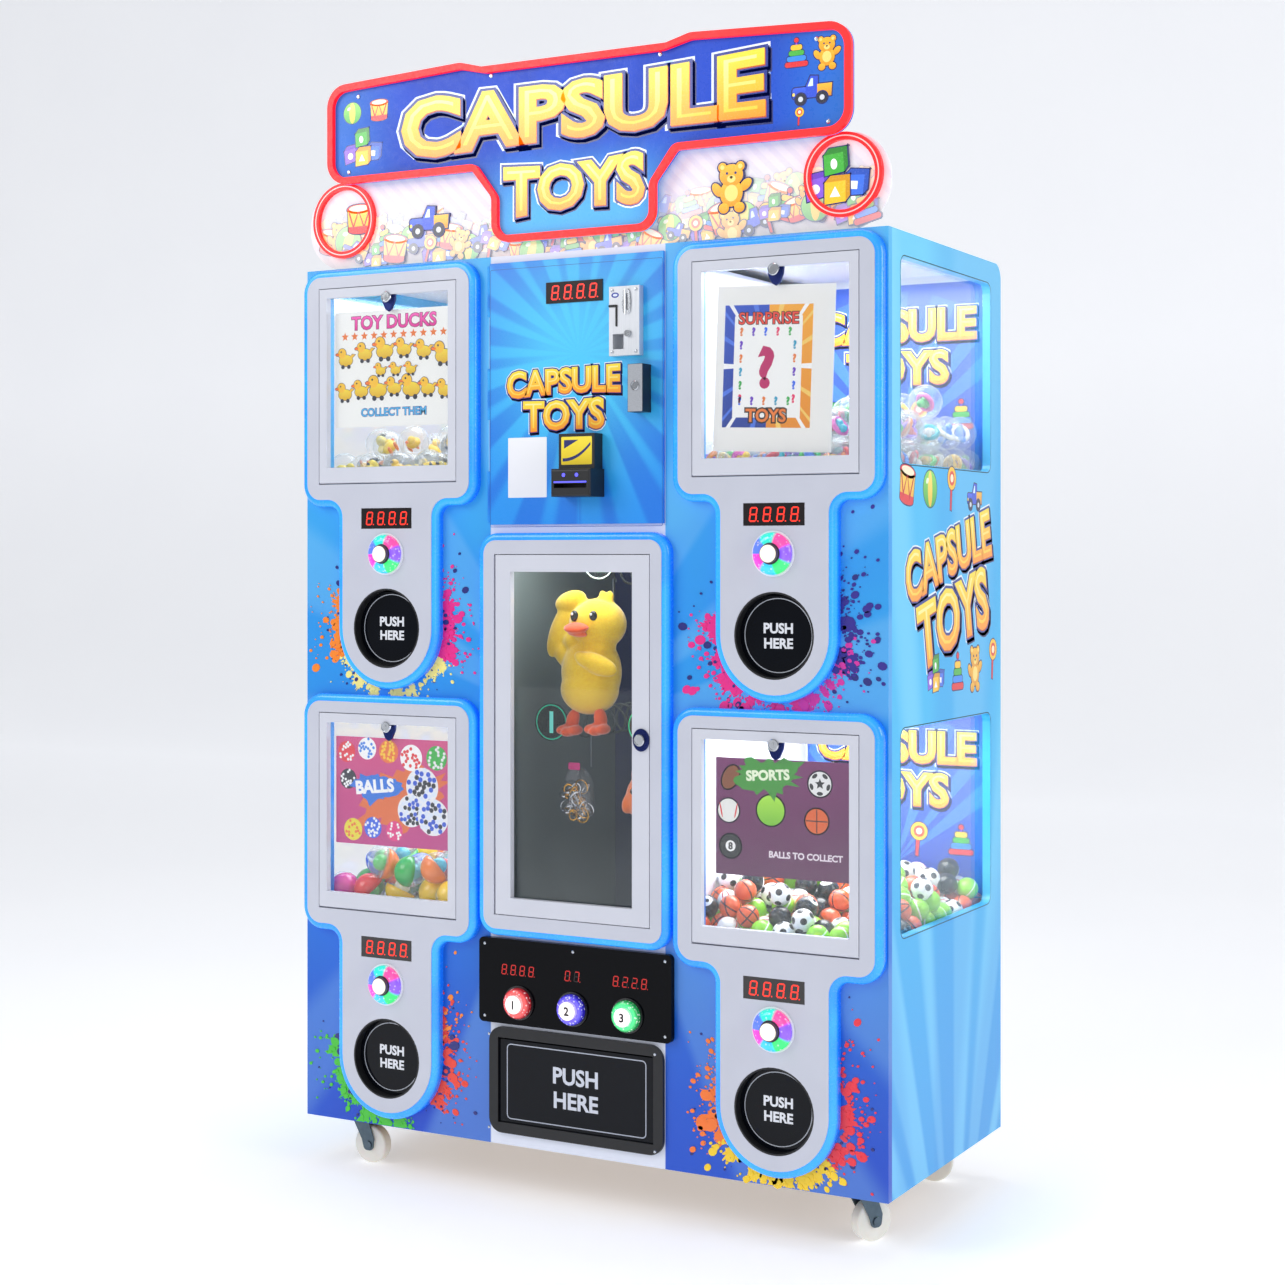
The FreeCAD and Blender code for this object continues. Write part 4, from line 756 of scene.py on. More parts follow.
def toy_ball():
    """Green ball with one yellow band and a glint."""
    return toy((oval(0, 0, 42), ("#2FA83A", "#8FE05A"))) + cut(
        oval(0, 0, 14, 41), ("#F4C51E", "#FFE96B"), 3) + cut(oval(-17, 18, 9, 6, 30), "#F2FFE0", 4)


def toy_drum():
    """Drum with a zigzag cord between two red rims."""
    body = poly((-40, 26), (-36, -30), (0, -40), (36, -30), (40, 26))
    zigzag = poly((-37, 20), (-20, -28), (-2, 20), (16, -30), (35, 20), (30, 20), (16, -18),
                  (-2, 26), (-20, -16), (-32, 20))
    return toy((body, ("#F0A81C", "#FFD84A")), (oval(0, -31, 37, 10), RED),
               (poly((-37, -27), (37, -27), (37, -20), (-37, -20)), RED)) + cut(
        zigzag[::-1], "#C81E28", 6) + toy((oval(0, 28, 42, 13), RED)) + cut(
        oval(0, 30, 34, 9), CREAM, 7)


def toy_block(ink, shade, mark):
    """One block in a loose perspective: front face, darker top, and a plain round mark."""
    return toy((poly((-24, -24), (24, -20), (24, 24), (-24, 22)), ink),
               (poly((-24, 22), (24, 24), (34, 36), (-10, 36)), shade),
               (poly((24, -20), (34, -8), (34, 36), (24, 24)), shade)) + cut(
        mark, "#FFFFFF", 6)


def toy_blocks():
    """Two blocks side by side, two more on top of them."""
    return (moved(toy_block("#8A5BE0", "#6B3FC4", oval(0, 0, 11)), -34, -16, 0.75, 8)
            + moved(toy_block("#3E74E8", "#2B55BE", rounded(-9, -9, 9, 9)), 36, -14, 0.75, -6)
            + moved(toy_block(SUN, "#D99A12", poly((0, 13), (-12, -9), (12, -9))), 2, -24, 0.8,
                    0, above=8)
            + moved(toy_block(LEAF, "#2B8A2C", oval(0, 0, 8, 12)), 0, 24, 0.75, 4, above=8))


def toy_truck():
    """Pick-up truck seen from its side, on two wheels."""
    wheels = [item for x in (-26, 26) for item in
              moved(toy((oval(0, 0, 13), "#23263A")) + cut(oval(0, 0, 6), "#D8DCE6", 4), x, -22,
                    above=5)]
    return toy((rounded(-46, -20, -6, 4, 6), ("#1E3FC0", "#3B66F0")),
               (poly((-14, -20), (16, -20), (16, 26), (-2, 28), (-14, 4)), "#2A50D8"),
               (poly((14, -20), (48, -20), (50, 8), (14, 8)), ("#E0921A", "#FFC23A")),
               (poly((-9, 5), (-1, 22), (4, 22), (4, 5)), "#DDF4FF"),
               (rounded(-46, -14, -40, -7, 2), "#FFE36B")) + wheels


def toy_teddy():
    """Ears, arms, belly, feet and head as ovals."""
    fur, light = ("#E79A12", "#FFC22E"), "#FFE07A"
    parts = [(oval(-19, 40, 9), fur), (oval(19, 40, 9), fur), (oval(-30, -2, 9, 15, 35), fur),
             (oval(30, 4, 9, 15, -50), fur), (oval(0, -10, 24, 26), fur),
             (oval(-16, -38, 11, 10), fur), (oval(17, -38, 11, 10), fur),
             (oval(0, 24, 25, 21), fur)]
    return toy(*parts) + sum((cut(outline, ink, 12) for outline, ink in (
        (oval(0, -10, 14, 16), light), (oval(0, 17, 9, 7), light), (oval(0, 20, 3.4, 2.6), NAVY),
        (oval(-9, 28, 2.6), NAVY), (oval(9, 28, 2.6), NAVY), (oval(-19, 40, 4.5), light),
        (oval(19, 40, 4.5), light))), [])


def toy_stacker():
    """Rings on a post, each 12 mm narrower than the one below."""
    rings = [(RED, 36), ("#2F8CF0", 30), (LEAF, 24), (SUN, 18)]
    tower = [(rounded(-w, -34 + 16 * k, w, -19 + 16 * k, 7), shade)
             for k, (shade, w) in enumerate(rings)]
    return toy((poly((-4, 20), (4, 20), (2, 46), (-2, 46)), "#8A3FD0"), *tower,
               (oval(0, 42, 7), RED))


def toy_rattle():
    """Ring on a handle."""
    return toy((poly((-5, -44), (3, -46), (8, 8), (-2, 8)), RED), (oval(6, 24, 25), SUN),
               (oval(6, 24, 16), "#E5452E")) + cut(oval(6, 24, 9), CREAM, 6)


TOYS = {"ball": toy_ball(), "drum": toy_drum(), "blocks": toy_blocks(), "truck": toy_truck(),
        "teddy": toy_teddy(), "stacker": toy_stacker(), "rattle": toy_rattle()}
print({name: len(art) for name, art in TOYS.items()})


# %% [markdown]
# ### Words
# The cabinet's lettering is only a plain label for what is inside. A line of it is the same
# letters laid four times: a white rim, a navy shadow that falls down and right, a warm
# fill that runs from orange to yellow, and a thin pale line along the upper strokes.

# %% A line of lettering
def bent(items, rise=0.0, bow=0.0, swell=0.0, half_width=400.0):
    """Warp with s = x / half_width: y grows by the factor 1 + swell * s * s, and then
    rise * s + bow * (1 - s * s) is added to it."""
    out = []
    for points, faces, ink, layer in items:
        s = points[:, 0] / half_width
        y = points[:, 1] * (1 + swell * s * s) + rise * s + bow * (1 - s * s)
        out.append((np.column_stack([points[:, 0], y, points[:, 2]]), faces, ink, layer))
    return out


def title(text, height, fat=0.05, fill=("#FF9A0A", "#FFE536"), rim="#E9F4FF", deep="#142A8C"):
    """Rim, shadow, outline, fill and highlight of one line of letters."""
    art = words(text, height, rim, 1, height * (fat + 0.085))
    for step in (0.03, 0.06, 0.09):
        art += moved(words(text, height, "#0B1B66", 2, height * (fat + 0.055)),
                     height * step * 0.6, -height * step)
    art += words(text, height, deep, 3, height * (fat + 0.05))
    art += moved(words(text, height, "#C4500A", 4, height * fat), height * 0.012,
                 -height * 0.025)
    art += words(text, height, fill, 5, height * fat)
    return art + moved(words(text, height, ("#FFD02A", "#FFF59A"), 6, -height * 0.035),
                       -height * 0.01, height * 0.02)


print("a title has", len(title("TOYS", 90)), "plates")

# %% [markdown]
# ### The header sign
# The front board is royal blue with the label in two lines and a few toys at its ends. The
# pale board behind it has four clear toys and, along its foot, a washed-out heap of them.

# %% Art on the two sign boards
SIGN_FRONT = span("sign_boards")[0][1]
LOWER_FACE = SIGN_FRONT + 20.0                    # the pale board stands 20 mm behind


def stretched(items, share):
    """The same art, share times as wide."""
    return [(points * (share, 1, 1), faces, ink, layer) for points, faces, ink, layer in items]


SIGN_WORDS = (moved(bent(stretched(title("CAPSULE", 94, 0.075), 1.42), 6, -3, 0.14), 0, 268)
              + moved(bent(stretched(title("TOYS", 74, 0.08), 1.12), 4, 0, 0.2, 160), -2, 122))
SIGN_TOYS = (("ball", -512, 307, 0.5), ("drum", -447, 307, 0.52), ("blocks", -490, 234, 0.78),
             ("stacker", 458, 314, 0.62), ("teddy", 517, 311, 0.62), ("truck", 487, 252, 0.8),
             ("rattle", 462, 204, 0.34))
upper_art = list(SIGN_WORDS)
for kind, x, y, size in SIGN_TOYS:
    upper_art += moved(TOYS[kind], x, y, size)
sheet_of_art("print_upper_sign", "front", (0, SIGN_FRONT, TOP), upper_art,
             slot="printed_acrylic", mat=lit_ink)
PILE_WIDTH, IN_ROW = 1170.0, 56                   # a far row of toys and a near one
TOY_LAYERS = 13                                   # from one toy of the heap to the next
draw = np.random.default_rng(11)
pile = []
kinds = list(TOYS)
for k in range(2 * IN_ROW):
    near, step = divmod(k, IN_ROW)
    x = -PILE_WIDTH / 2 + PILE_WIDTH * (step + 0.5) / IN_ROW + draw.uniform(-9, 9)
    y = draw.uniform(4, 44) + 34 * (1 - near) + 26 * (abs(x) / 600) ** 2
    pile += moved(TOYS[kinds[(k * 3 + near) % len(kinds)]], x, y, draw.uniform(0.5, 0.74),
                  draw.uniform(-25, 25), 0.62 - 0.3 * near,
                  above=(step % 4 + 4 * near) * TOY_LAYERS)
for kind, x, y, size in (("drum", -506, 98, 0.72), ("truck", -340, 84, 0.95),
                         ("teddy", 322, 92, 0.95), ("blocks", 524, 92, 1.05)):
    pile += moved(TOYS[kind], x, y, size, above=8 * TOY_LAYERS + 2)
sheet_of_art("print_lower_sign", "front", (0, LOWER_FACE, TOP), pile, slot="printed_acrylic",
             mat=lit_ink)


# %% A pale line along the middle of each neon tube
def along(outline, width, ink, layer):
    """Line of the given width, centred on the outline."""
    return hoop(grown(outline, width / 2), width, ink, layer)


ring = [item for x in (-542, 542) for item in
        along(oval(x, 97, 68.5, sides=72), 2.2, "#FFC9C4", 3)]
sheet_of_art("neon_ring_highlight", "front", (0, LOWER_FACE - 10, TOP), ring,
             slot="neon_red", mat=lit_ink)

# %% [markdown]
# ### Side panels and the walls behind the stock
# Both sides carry the same picture between their windows: four toys, the label on a slant,
# four more toys. A blue poster of the same kind stands behind each heap of capsules.

# %% Art on the sides and posters in the bins
def side_picture():
    """Offsets are from the middle of the panel, so both sides use them unchanged."""
    art = []
    for kind, x, y, size in (("drum", -203, 448, 0.86), ("ball", -92, 452, 0.8),
                             ("rattle", 14, 450, 0.86), ("truck", 140, 458, 0.82),
                             ("blocks", -66, 792, 0.72), ("stacker", 50, 796, 0.84),
                             ("teddy", 143, 790, 0.9), ("rattle", 240, 776, 0.82)):
        art += moved(TOYS[kind], x, -y, size, -8 if kind == "drum" else 0)
    slant = 12                                    # degrees
    art += moved(bent(title("CAPSULE", 76, 0.07), 0, 6, 0.12, 240), 10, -574, 1.0, slant)
    return art + moved(bent(title("TOYS", 96, 0.07), 0, 6, 0.1, 200), 34, -690, 1.05, slant)


SIDE_MIDDLE = (FRONT + BACK) / 2
sheet_of_art("print_right_side", "right", (HALF, SIDE_MIDDLE, TOP), side_picture(),
             slot="printed_side_board")
sheet_of_art("print_left_side", "left", (-HALF, SIDE_MIDDLE, TOP), side_picture(),
             slot="printed_side_board")


def poster(width, height):
    """Blue sheet with paler wedges, the label and a row of toys low down."""
    art = cut(rounded(-width / 2, -height, width / 2, 0), ("#1B3FA8", "#2E62D6"), 1)
    for a in range(-60, 61, 20):
        way = spun(np.array([(0.0, 1.0)]), a)[0] * height * 0.75
        side = np.array([way[1], -way[0]]) * 0.09
        wedge = np.array([(0.0, 0.0), way + side, way - side]) + (0, -height * 0.8)
        art += cut(np.clip(wedge, (-width / 2 + 2, -height + 2), (width / 2 - 2, -2)),
                   "#3A78E6", 2)
    art += moved(title("CAPSULE", 58, 0.07), 0, -height * 0.22, 1.0, 0, above=3)
    art += moved(title("TOYS", 60, 0.07), 4, -height * 0.43, 1.0, 0, above=3)
    for k, kind in enumerate(("blocks", "teddy", "rattle", "stacker")):
        art += moved(TOYS[kind], width * (-0.36 + 0.24 * k), -height * 0.68, 0.72, above=4)
    return art


for n, middle in BIN_MIDDLE.items():
    sheet_of_art("poster_%d" % n, "front", (middle, INSIDE_BACK, TOP - STATION_TOP[n] - 22),
                 poster(388, 405), slot="white_laminate_board")

# %% [markdown]
# ### The coin door's picture
# A smaller label under the credit display, and one plain white card.

# %% Art on the coin door
COIN_FACE = FRONT - 6.0                           # the door's sheet stands 6 mm proud
door_art = moved(bent(title("CAPSULE", 42, 0.08), 3, 2, 0.1, 120), -26, -246)
door_art += moved(bent(title("TOYS", 48, 0.08), 2, 0, 0.1, 100), -24, -308)
door_art += cut(rounded(-147, -463, -61, -349, 1.5), ("#E8EAF2", "#F7F8FC"), 3)
sheet_of_art("print_coin_door", "front", (0, COIN_FACE, TOP), door_art, "coin_door_body",
             "printed_steel")

# %% [markdown]
# ### Paint splashes
# Bright splashes burst out from behind each round-ended neck. A droplet's distance from the
# neck is drawn from an exponential law, so most land close and a few fly far; a blob is a
# circle whose radius is multiplied by noise and stretched away from the neck.

# %% Splashes round the necks
NECK_RADIUS, CHUTE_DROP = 120.0, 716.0            # round end of a bezel, and its place
SPLASH_SIDE, SPLASH_TOP = 206.0, 262.0            # a splash stays inside these


def blob(draw, centre, size, heading):
    """r = size * (0.45 + noise), stretched along heading so that it points outwards."""
    a = np.linspace(0, 2 * np.pi, 40, endpoint=False)
    r = size * (0.5 + 0.34 * draw.random(40) + 0.3 * (draw.random(40) > 0.84))
    points = np.stack([r * np.cos(a) * 1.5, r * np.sin(a) * 0.8], axis=1)
    return spun(points, heading) + centre


def splash(seed, ink, start, end, reach, drops, blobs, foot, layer=1):
    """Blobs and droplets between two angles. Neighbours get different heights, so no two
    touching tops lie in one plane."""
    draw = np.random.default_rng(seed)
    art = []
    for k, a in enumerate(np.radians(np.sort(draw.uniform(start, end, blobs)))):
        r = NECK_RADIUS + draw.uniform(-4, 14)
        shape = blob(draw, (r * math.cos(a), r * math.sin(a)), draw.uniform(12, 24),
                     math.degrees(a))
        inside = np.clip(shape, (-SPLASH_SIDE, foot), (SPLASH_SIDE, SPLASH_TOP))
        art += cut(inside, ink, layer + 3 * (k % 5))
    angles = np.radians(np.sort(draw.uniform(start, end, drops)))
    r = NECK_RADIUS + 4 + draw.exponential(reach, drops)
    sizes = 0.7 + draw.exponential(1.9, drops)
    for k, (a, away, size) in enumerate(zip(angles, r, sizes)):
        x, y = away * math.cos(a), away * math.sin(a)
        if abs(x) < SPLASH_SIDE - 2 and foot + 3 < y < SPLASH_TOP - 2:
            art += cut(oval(x, y, size * 1.25, size, math.degrees(a), 9), ink,
                       layer + 15 + 3 * (k % 7))
    return art


SPLASHES = {
    1: (("#FF8A1E", 150, 205, 26, 150, 8), ("#F01E8C", -28, 62, 30, 190, 14),
        ("#FFF08C", 205, 335, 16, 120, 12)),
    2: (("#F2208A", 165, 290, 26, 190, 18), ("#2B1C8C", -30, 62, 28, 260, 12),
        ("#D92AA0", -75, 0, 20, 90, 5)),
    3: (("#43C832", 168, 292, 26, 190, 18), ("#F2402A", -40, 62, 28, 200, 12),
        ("#FF8A1E", 20, 70, 30, 90, 3)),
    4: (("#FF7A1E", 140, 215, 26, 150, 8), ("#FFD51E", 210, 320, 18, 150, 14),
        ("#F2283C", -42, 60, 28, 220, 12)),
}
for n, cx in COLUMN.items():
    art = []
    panel_foot = span("front_panel")[0][2] + 1.0 - (TOP - STATION_TOP[n] - CHUTE_DROP)
    panel_foot = max(panel_foot, -188.0)
    for k, (ink, start, end, reach, drops, blobs) in enumerate(SPLASHES[n]):
        art += splash(10 * n + k, ink, start, end, reach, drops, blobs, panel_foot, 1 + k)
    art += splash(70 + n, "#1B1F78", -60, 240, 34, 60, 0, panel_foot, 5)
    sheet_of_art("splashes_%d" % n, "front", (cx, FRONT, TOP - STATION_TOP[n] - CHUTE_DROP),
                 art)

# %% [markdown]
# ## Lit digits
# Every display is the same seven-segment part. A segment is a bar with pointed ends, placed
# by a row of (x, y, turned) for the seven positions; an unlit one stays a very dark red.

# %% Seven-segment digits
SEGMENTS = ((0, 1, 0), (0.5, 0.5, 1), (0.5, -0.5, 1), (0, -1, 0), (-0.5, -0.5, 1),
            (-0.5, 0.5, 1), (0, 0, 0))
LIT = {"8": "1111111", "0": "1111110", "7": "1110000", "2": "1101101"}


def digits(text, height, pitch, lit="#FF3020", dark="#240506"):
    """A row of digits with their decimal points, centred on the origin."""
    wide, half, thick = height * 0.52, height / 2, height * 0.055
    bar = poly((-wide / 2, 0), (-wide / 2 + thick, thick), (wide / 2 - thick, thick),
               (wide / 2, 0), (wide / 2 - thick, -thick), (-wide / 2 + thick, -thick))
    art = []
    for k, figure in enumerate(text):
        x0 = (k - (len(text) - 1) / 2) * pitch
        for (sx, sy, upright), on in zip(SEGMENTS, LIT[figure]):
            shape = spun(bar * (0.94, 1), 90 * upright) + (x0 + sx * wide, sy * half)
            art += cut(shape, lit if on == "1" else dark, 1)
        art += cut(oval(x0 + wide * 0.86, -half, thick, sides=10), lit, 1)
    return [(p @ np.array([[1, 0, 0], [0.12, 1, 0], [0, 0, 1]]), f, c, k) for p, f, c, k in art]


DISPLAY_DROP, CREDIT_DROP, PANEL_DIGITS_DROP = 500, 78, 1362
PANEL_FACE = FRONT - 12.0                         # the black panel's face stands proud
lit_digits = material("lit_red_segments", ink_paint, 0.3, 4.0, glow=0.8)
dim_digits = material("dim_red_segments", ink_paint, 0.3, 4.0, glow=0.25)
for n, cx in COLUMN.items():
    sheet_of_art("digits_%d" % n, "front", (cx, BEZEL + 0.5, TOP - STATION_TOP[n] - DISPLAY_DROP),
                 digits("8888", 24, 27), slot="display_black", mat=lit_digits)
sheet_of_art("digits_credit", "front", (0, COIN_FACE - 2, TOP - CREDIT_DROP),
             digits("8888", 25, 27.5), "coin_door_body", "display_black", lit_digits)
for name, x, text in (("left", -122, "8888"), ("middle", -2, "07"), ("right", 122, "8228")):
    sheet_of_art("digits_panel_" + name, "front", (x, PANEL_FACE, TOP - PANEL_DIGITS_DROP),
                 digits(text, 18, 20, "#C01A14", "#0E0304"), slot="display_black",
                 mat=dim_digits)

# %% Numbers on the select buttons' caps
for n in (1, 2, 3):
    low, high = span("select_button_%d" % n)
    middle = (low + high) / 2
    sheet_of_art("select_number_%d" % n, "front", (middle[0], low[1], middle[2]),
                 words(str(n), 15, "#15151A", 1, 0.8), "select_button_%d_body" % n,
                 "lit_button")

# %% [markdown]
# ## Flaps
# The push flaps are smoked acrylic with a thin line engraved round them and a plain hint in
# two rows. The pictures ride on the flaps, so they swing in with them.

# %% Lines and words on the flaps
for n, cx in COLUMN.items():
    face = span("prize_flap_%d" % n)[0][1]
    art = hoop(oval(0, 0, 67, sides=90), 1.7, "#B9BEC8", 1)
    art += moved(words("PUSH", 17, "#E6E9F0", 1, 0.9), 0, 13)
    art += moved(words("HERE", 17, "#E6E9F0", 1, 0.9), 0, -14)
    sheet_of_art("flap_marking_%d" % n, "front", (cx, face, TOP - STATION_TOP[n] - CHUTE_DROP),
                 art, "prize_flap_%d_body" % n, "smoked_acrylic")
wide_face = span("centre_prize_flap")[0][1]
art = hoop(rounded(-152, -72, 152, 72, 9), 2.0, "#AEB4C2", 1)
art += moved(words("PUSH", 29, "#CDD2DE", 1, 1.2), 0, 23)
art += moved(words("HERE", 29, "#CDD2DE", 1, 1.2), 0, -23)
sheet_of_art("wide_flap_marking", "front", (0, wide_face, TOP - 1577), art,
             "centre_flap_body", "smoked_acrylic")

# %% [markdown]
# ## Cards in the windows
# A printed card behind each door's glass shows what its bin holds: toy ducks, question
# marks, beaded balls or sports balls. Its plates lie on a board half a millimetre thick.

# %% What the four cards show
def duck_picture():
    """Body, head, tail and bill, with an eye and two wheels."""
    return toy((oval(4, -10, 32, 22), ("#E8B40C", "#FFE23A")), (oval(-14, 18, 19), SUN),
               (poly((30, -4), (48, 12), (34, 14), (22, 2)), SUN),
               (oval(-35, 14, 9, 5), "#FF7A14"), line=1.8) + cut(
        oval(-18, 24, 3.2), "#15151A", 8) + cut(oval(-10, -34, 8), "#23263A", 8) + cut(
        oval(18, -34, 8), "#23263A", 8)


def star(size, points=5):
    """Radius alternates between size and 0.45 * size round the circle."""
    a = np.arange(2 * points) * np.pi / points + np.pi / 2
    r = np.where(np.arange(2 * points) % 2 == 0, size, size * 0.45)
    return np.stack([r * np.cos(a), r * np.sin(a)], axis=1)


def card_edge(width, height, radius):
    """Rounded rectangle centred on the origin."""
    return rounded(-width / 2, -height / 2, width / 2, height / 2, radius)


def backed(text, height, x, y, inks, layer, grows):
    """A line of words over a wider copy of itself."""
    return sum((moved(words(text, height, ink, layer + k, grow), x, y)
                for k, (ink, grow) in enumerate(zip(inks, grows))), [])


def ducks_card(width, height):
    """Three rows of ducks on shallow arcs between a heading and a foot line."""
    art = cut(card_edge(width, height, 1), "#FAFAF7")
    art += backed("TOY DUCKS", 25, 0, 92, ("#7A0F52", ("#E8189A", "#FF58C0")), 2, (2.0, 0.8))
    for x in np.linspace(-118, 118, 11):
        art += cut(star(9) + (x, 66), "#F07818", 2)
    for k in range(6):
        x = -118 + 47 * k
        art += moved(duck_picture(), x, 24 + 16 * (1 - (x / 118) ** 2), 0.52 + 0.1 * (k % 3 == 2),
                     above=3 + 9 * (k % 2))
    for x in (-32, 4, 40):
        art += moved(duck_picture(), x, -2, 0.36, above=21)
    for k in range(7):
        x = -120 + 40 * k
        art += moved(duck_picture(), x, -44 + 8 * (1 - (x / 118) ** 2), 0.5 + 0.14 * (k in (2, 4)),
                     above=3 + 9 * (k % 2))
    return art + backed("COLLECT THEM", 15, 0, -86, ("#1E2C8C", "#4CB8F0"), 2, (1.3, 0.4))


def surprise_card(width, height):
    """Two-coloured panel with wedges every 20 degrees, and a frame of small question marks."""
    art = cut(card_edge(width, height, 1), "#F6F5F2")
    x0, x1, y0, y1 = -100, 74, -106, 114
    art += cut(rounded(x0, y0, -12, y1), ("#163C9C", "#1E50C8"), 2)
    art += cut(rounded(-12, y0, x1, y1), ("#F0931A", "#FFB028"), 2)
    for a in range(0, 360, 20):
        tip = spun(np.array([(150.0, -5.0), (150.0, 5.0)]), a)
        wedge = np.concatenate([[(0.0, 0.0)], tip])
        wedge = np.clip(wedge + (-13, 4), (x0, y0), (x1, y1))
        if abs(area_of(wedge)) > 40:
            art += cut(wedge, "#FFFFFF" if a % 60 == 0 else "#FFD46A" if a < 90 or a > 270
                       else "#4C7AE6", 3)
    art += cut(rounded(-80, -88, 54, 94, 1), "#FDFDFB", 4)
    art += backed("SURPRISE", 20, -13, 90, ("#141414", "#F2402E"), 5, (1.8, 0.5))
    art += backed("TOYS", 22, -13, -84, ("#141414", "#F2802E"), 5, (3.6, 1.0))
    art += moved(words("?", 66, "#C41668", 5, 4.5), -16, 2)
    hues = ("#F0802A", "#6A2FC8", "#2A6AF0", "#F02A6A", "#2AB04A", "#14A0C8")
    for k in range(20):
        side, step = divmod(k, 5)
        x = (-66 + 24 * step, 40, 30 - 24 * step, -66)[side]
        y = (66, 42 - 24 * step, -58, -54 + 24 * step)[side]
        art += moved(words("?", 13, hues[k % 6], 5, 1.2), x, y)
    return art


def dotted_ball(x, y, r, base, dots, seed):
    """Disc with beads: a sunflower spiral, golden angle between neighbours."""
    k = np.arange(34)
    a, away = k * 2.39996, r * 0.9 * np.sqrt((k + 0.5) / 34)
    draw = np.random.default_rng(seed)
    art = cut(oval(x, y, r), base, 2)
    for ax, ay, pick in zip(x + away * np.cos(a), y + away * np.sin(a),
                            draw.integers(0, len(dots), 34)):
        art += cut(oval(ax, ay, r * 0.14, sides=8), dots[pick], 3)
    return art


def beads_card(width, height):
    """Nine small beaded balls round three larger ones."""
    art = cut(card_edge(width, height, 2), ("#C43A8A", "#D8508A"))
    art += cut(blob(np.random.default_rng(4), (30, -10), 92, 20), "#E8743C", 2)
    for k, (x, y, r, inks) in enumerate((
            (-112, 76, 21, ("#E83A4A", "#FFFFFF")), (-62, 84, 22, ("#FFFFFF", "#3A8AE8")),
            (-10, 80, 23, ("#F07A3A", "#FFD23A")), (44, 70, 26, ("#FFFFFF", "#E8323A")),
            (104, 72, 24, ("#3AB84A", "#F0F0F0")), (-108, 22, 20, ("#2A2A3A", "#FFFFFF")),
            (-96, -78, 22, ("#F0E03A", "#F07A3A")), (-48, -72, 21, ("#3A6AE8", "#FFFFFF")),
            (4, -76, 20, ("#E83A8A", "#FFFFFF")))):
        art += moved(dotted_ball(x, y, r, inks[0], inks, 30 + k), above=1)
    for k, (x, y, r) in enumerate(((70, 14, 38), (44, -34, 32), (96, -44, 36))):
        art += moved(dotted_ball(x, y, r, "#F4F4F8", ("#2A5AD8", "#E8F0FF", "#1E1E2E"), 50 + k),
                     above=3 + 3 * k)
    art += cut(blob(np.random.default_rng(8), (-44, 8), 52, 0), "#2C7AE0", 5)
    return art + moved(words("BALLS", 24, "#FFFFFF", 6, 1.6), -44, 10, 1.0, 6)


def sports_card(width, height):
    """Sports balls round a green one, on a plum sheet."""
    art = cut(card_edge(width, height, 2), ("#5E1850", "#7A2468"))
    art += moved(toy((oval(0, 0, 23, 15), "#8A4A22")), -104, 70, 1.0, 60)
    art += moved(toy((oval(0, 0, 21), "#F2F2EE")) + cut(oval(-15, 0, 1.4, 14, 12), RED, 4)
                 + cut(oval(15, 0, 1.4, 14, -12), RED, 4), -108, 10)
    art += moved(toy((oval(0, 0, 21), "#15151A")) + cut(oval(0, 0, 10), "#FFFFFF", 4)
                 + words("8", 12, "#15151A", 5, 0.6), -104, -54)
    soccer = toy((oval(0, 0, 22), "#F4F4F4")) + cut(star(9) * 1.1, "#15151A", 4)
    for a in range(0, 360, 72):
        soccer += cut(spun(oval(0, -17, 6, 3.5, sides=10), a), "#15151A", 4)
    art += moved(soccer, 72, 66)
    ball = toy((oval(0, 0, 22), "#E8641A")) + cut(rounded(-21, -0.9, 21, 0.9), "#15151A", 4)
    ball += cut(rounded(-0.9, -21, 0.9, 21), "#15151A", 4)
    art += moved(ball, 66, 0)
    art += moved(toy((oval(0, 0, 27), ("#7AC81E", "#B4F03A"))), -24, 14)
    art += cut(blob(np.random.default_rng(9), (-30, 76), 58, 0), "#3A9A2A", 3)
    art += moved(words("SPORTS", 17, "#F4FFE0", 4, 1.2), -30, 77, 1.0, 4)
    return art + moved(words("BALLS TO COLLECT", 11, "#F0E4EE", 2, 0.6), 44, -64)


# %% Cards as thin boards behind the glass
CARDS = {1: (ducks_card, 4, 203, 282, 230, 0), 2: (surprise_card, -9, 239, 233, 298, -2),
         3: (beads_card, 2, 195, 276, 213, 0), 4: (sports_card, 9, 198, 267, 211, 0)}
for n, (draw_card, x, drop, width, height, lean) in CARDS.items():
    glass_back = span("station_glass_%d" % n)[1][1]
    points, polygons, ink, _ = cut(card_edge(width, height, 1), "#F4F5F7")[0]
    board = [(points, [face[::-1] for face in polygons], ink, -10)]     # 0.5 mm to the back
    sheet_of_art("card_%d" % n, "front",
                 (COLUMN[n] + x, glass_back + 1.4, TOP - STATION_TOP[n] - drop),
                 moved(board + draw_card(width, height), 0, 0, 1.0, lean),
                 "station_door_%d_body" % n, "white_laminate_board")

# %% [markdown]
# ## Turned, pressed and lofted pieces
# Locks, screws, toys and plush all start as rings of points with a skin between them. A
# turned piece repeats one profile round an axis; a pressed plate repeats one outline at two
# or three heights, the last one a little smaller, which gives its eased edge.

# %% Rings and skins
def skin(rings):
    """Quads between neighbouring rings and a flat cap on the first and the last."""
    rings = np.asarray(rings, float)
    count, n, _ = rings.shape
    i = np.arange(n)
    j = (i + 1) % n
    quads = np.stack([i, j, j + n, i + n], axis=1)[None] + np.arange(count - 1)[:, None, None] * n
    caps = [i[::-1].tolist(), (i + (count - 1) * n).tolist()]
    return rings.reshape(-1, 3), quads.reshape(-1, 4).tolist() + caps


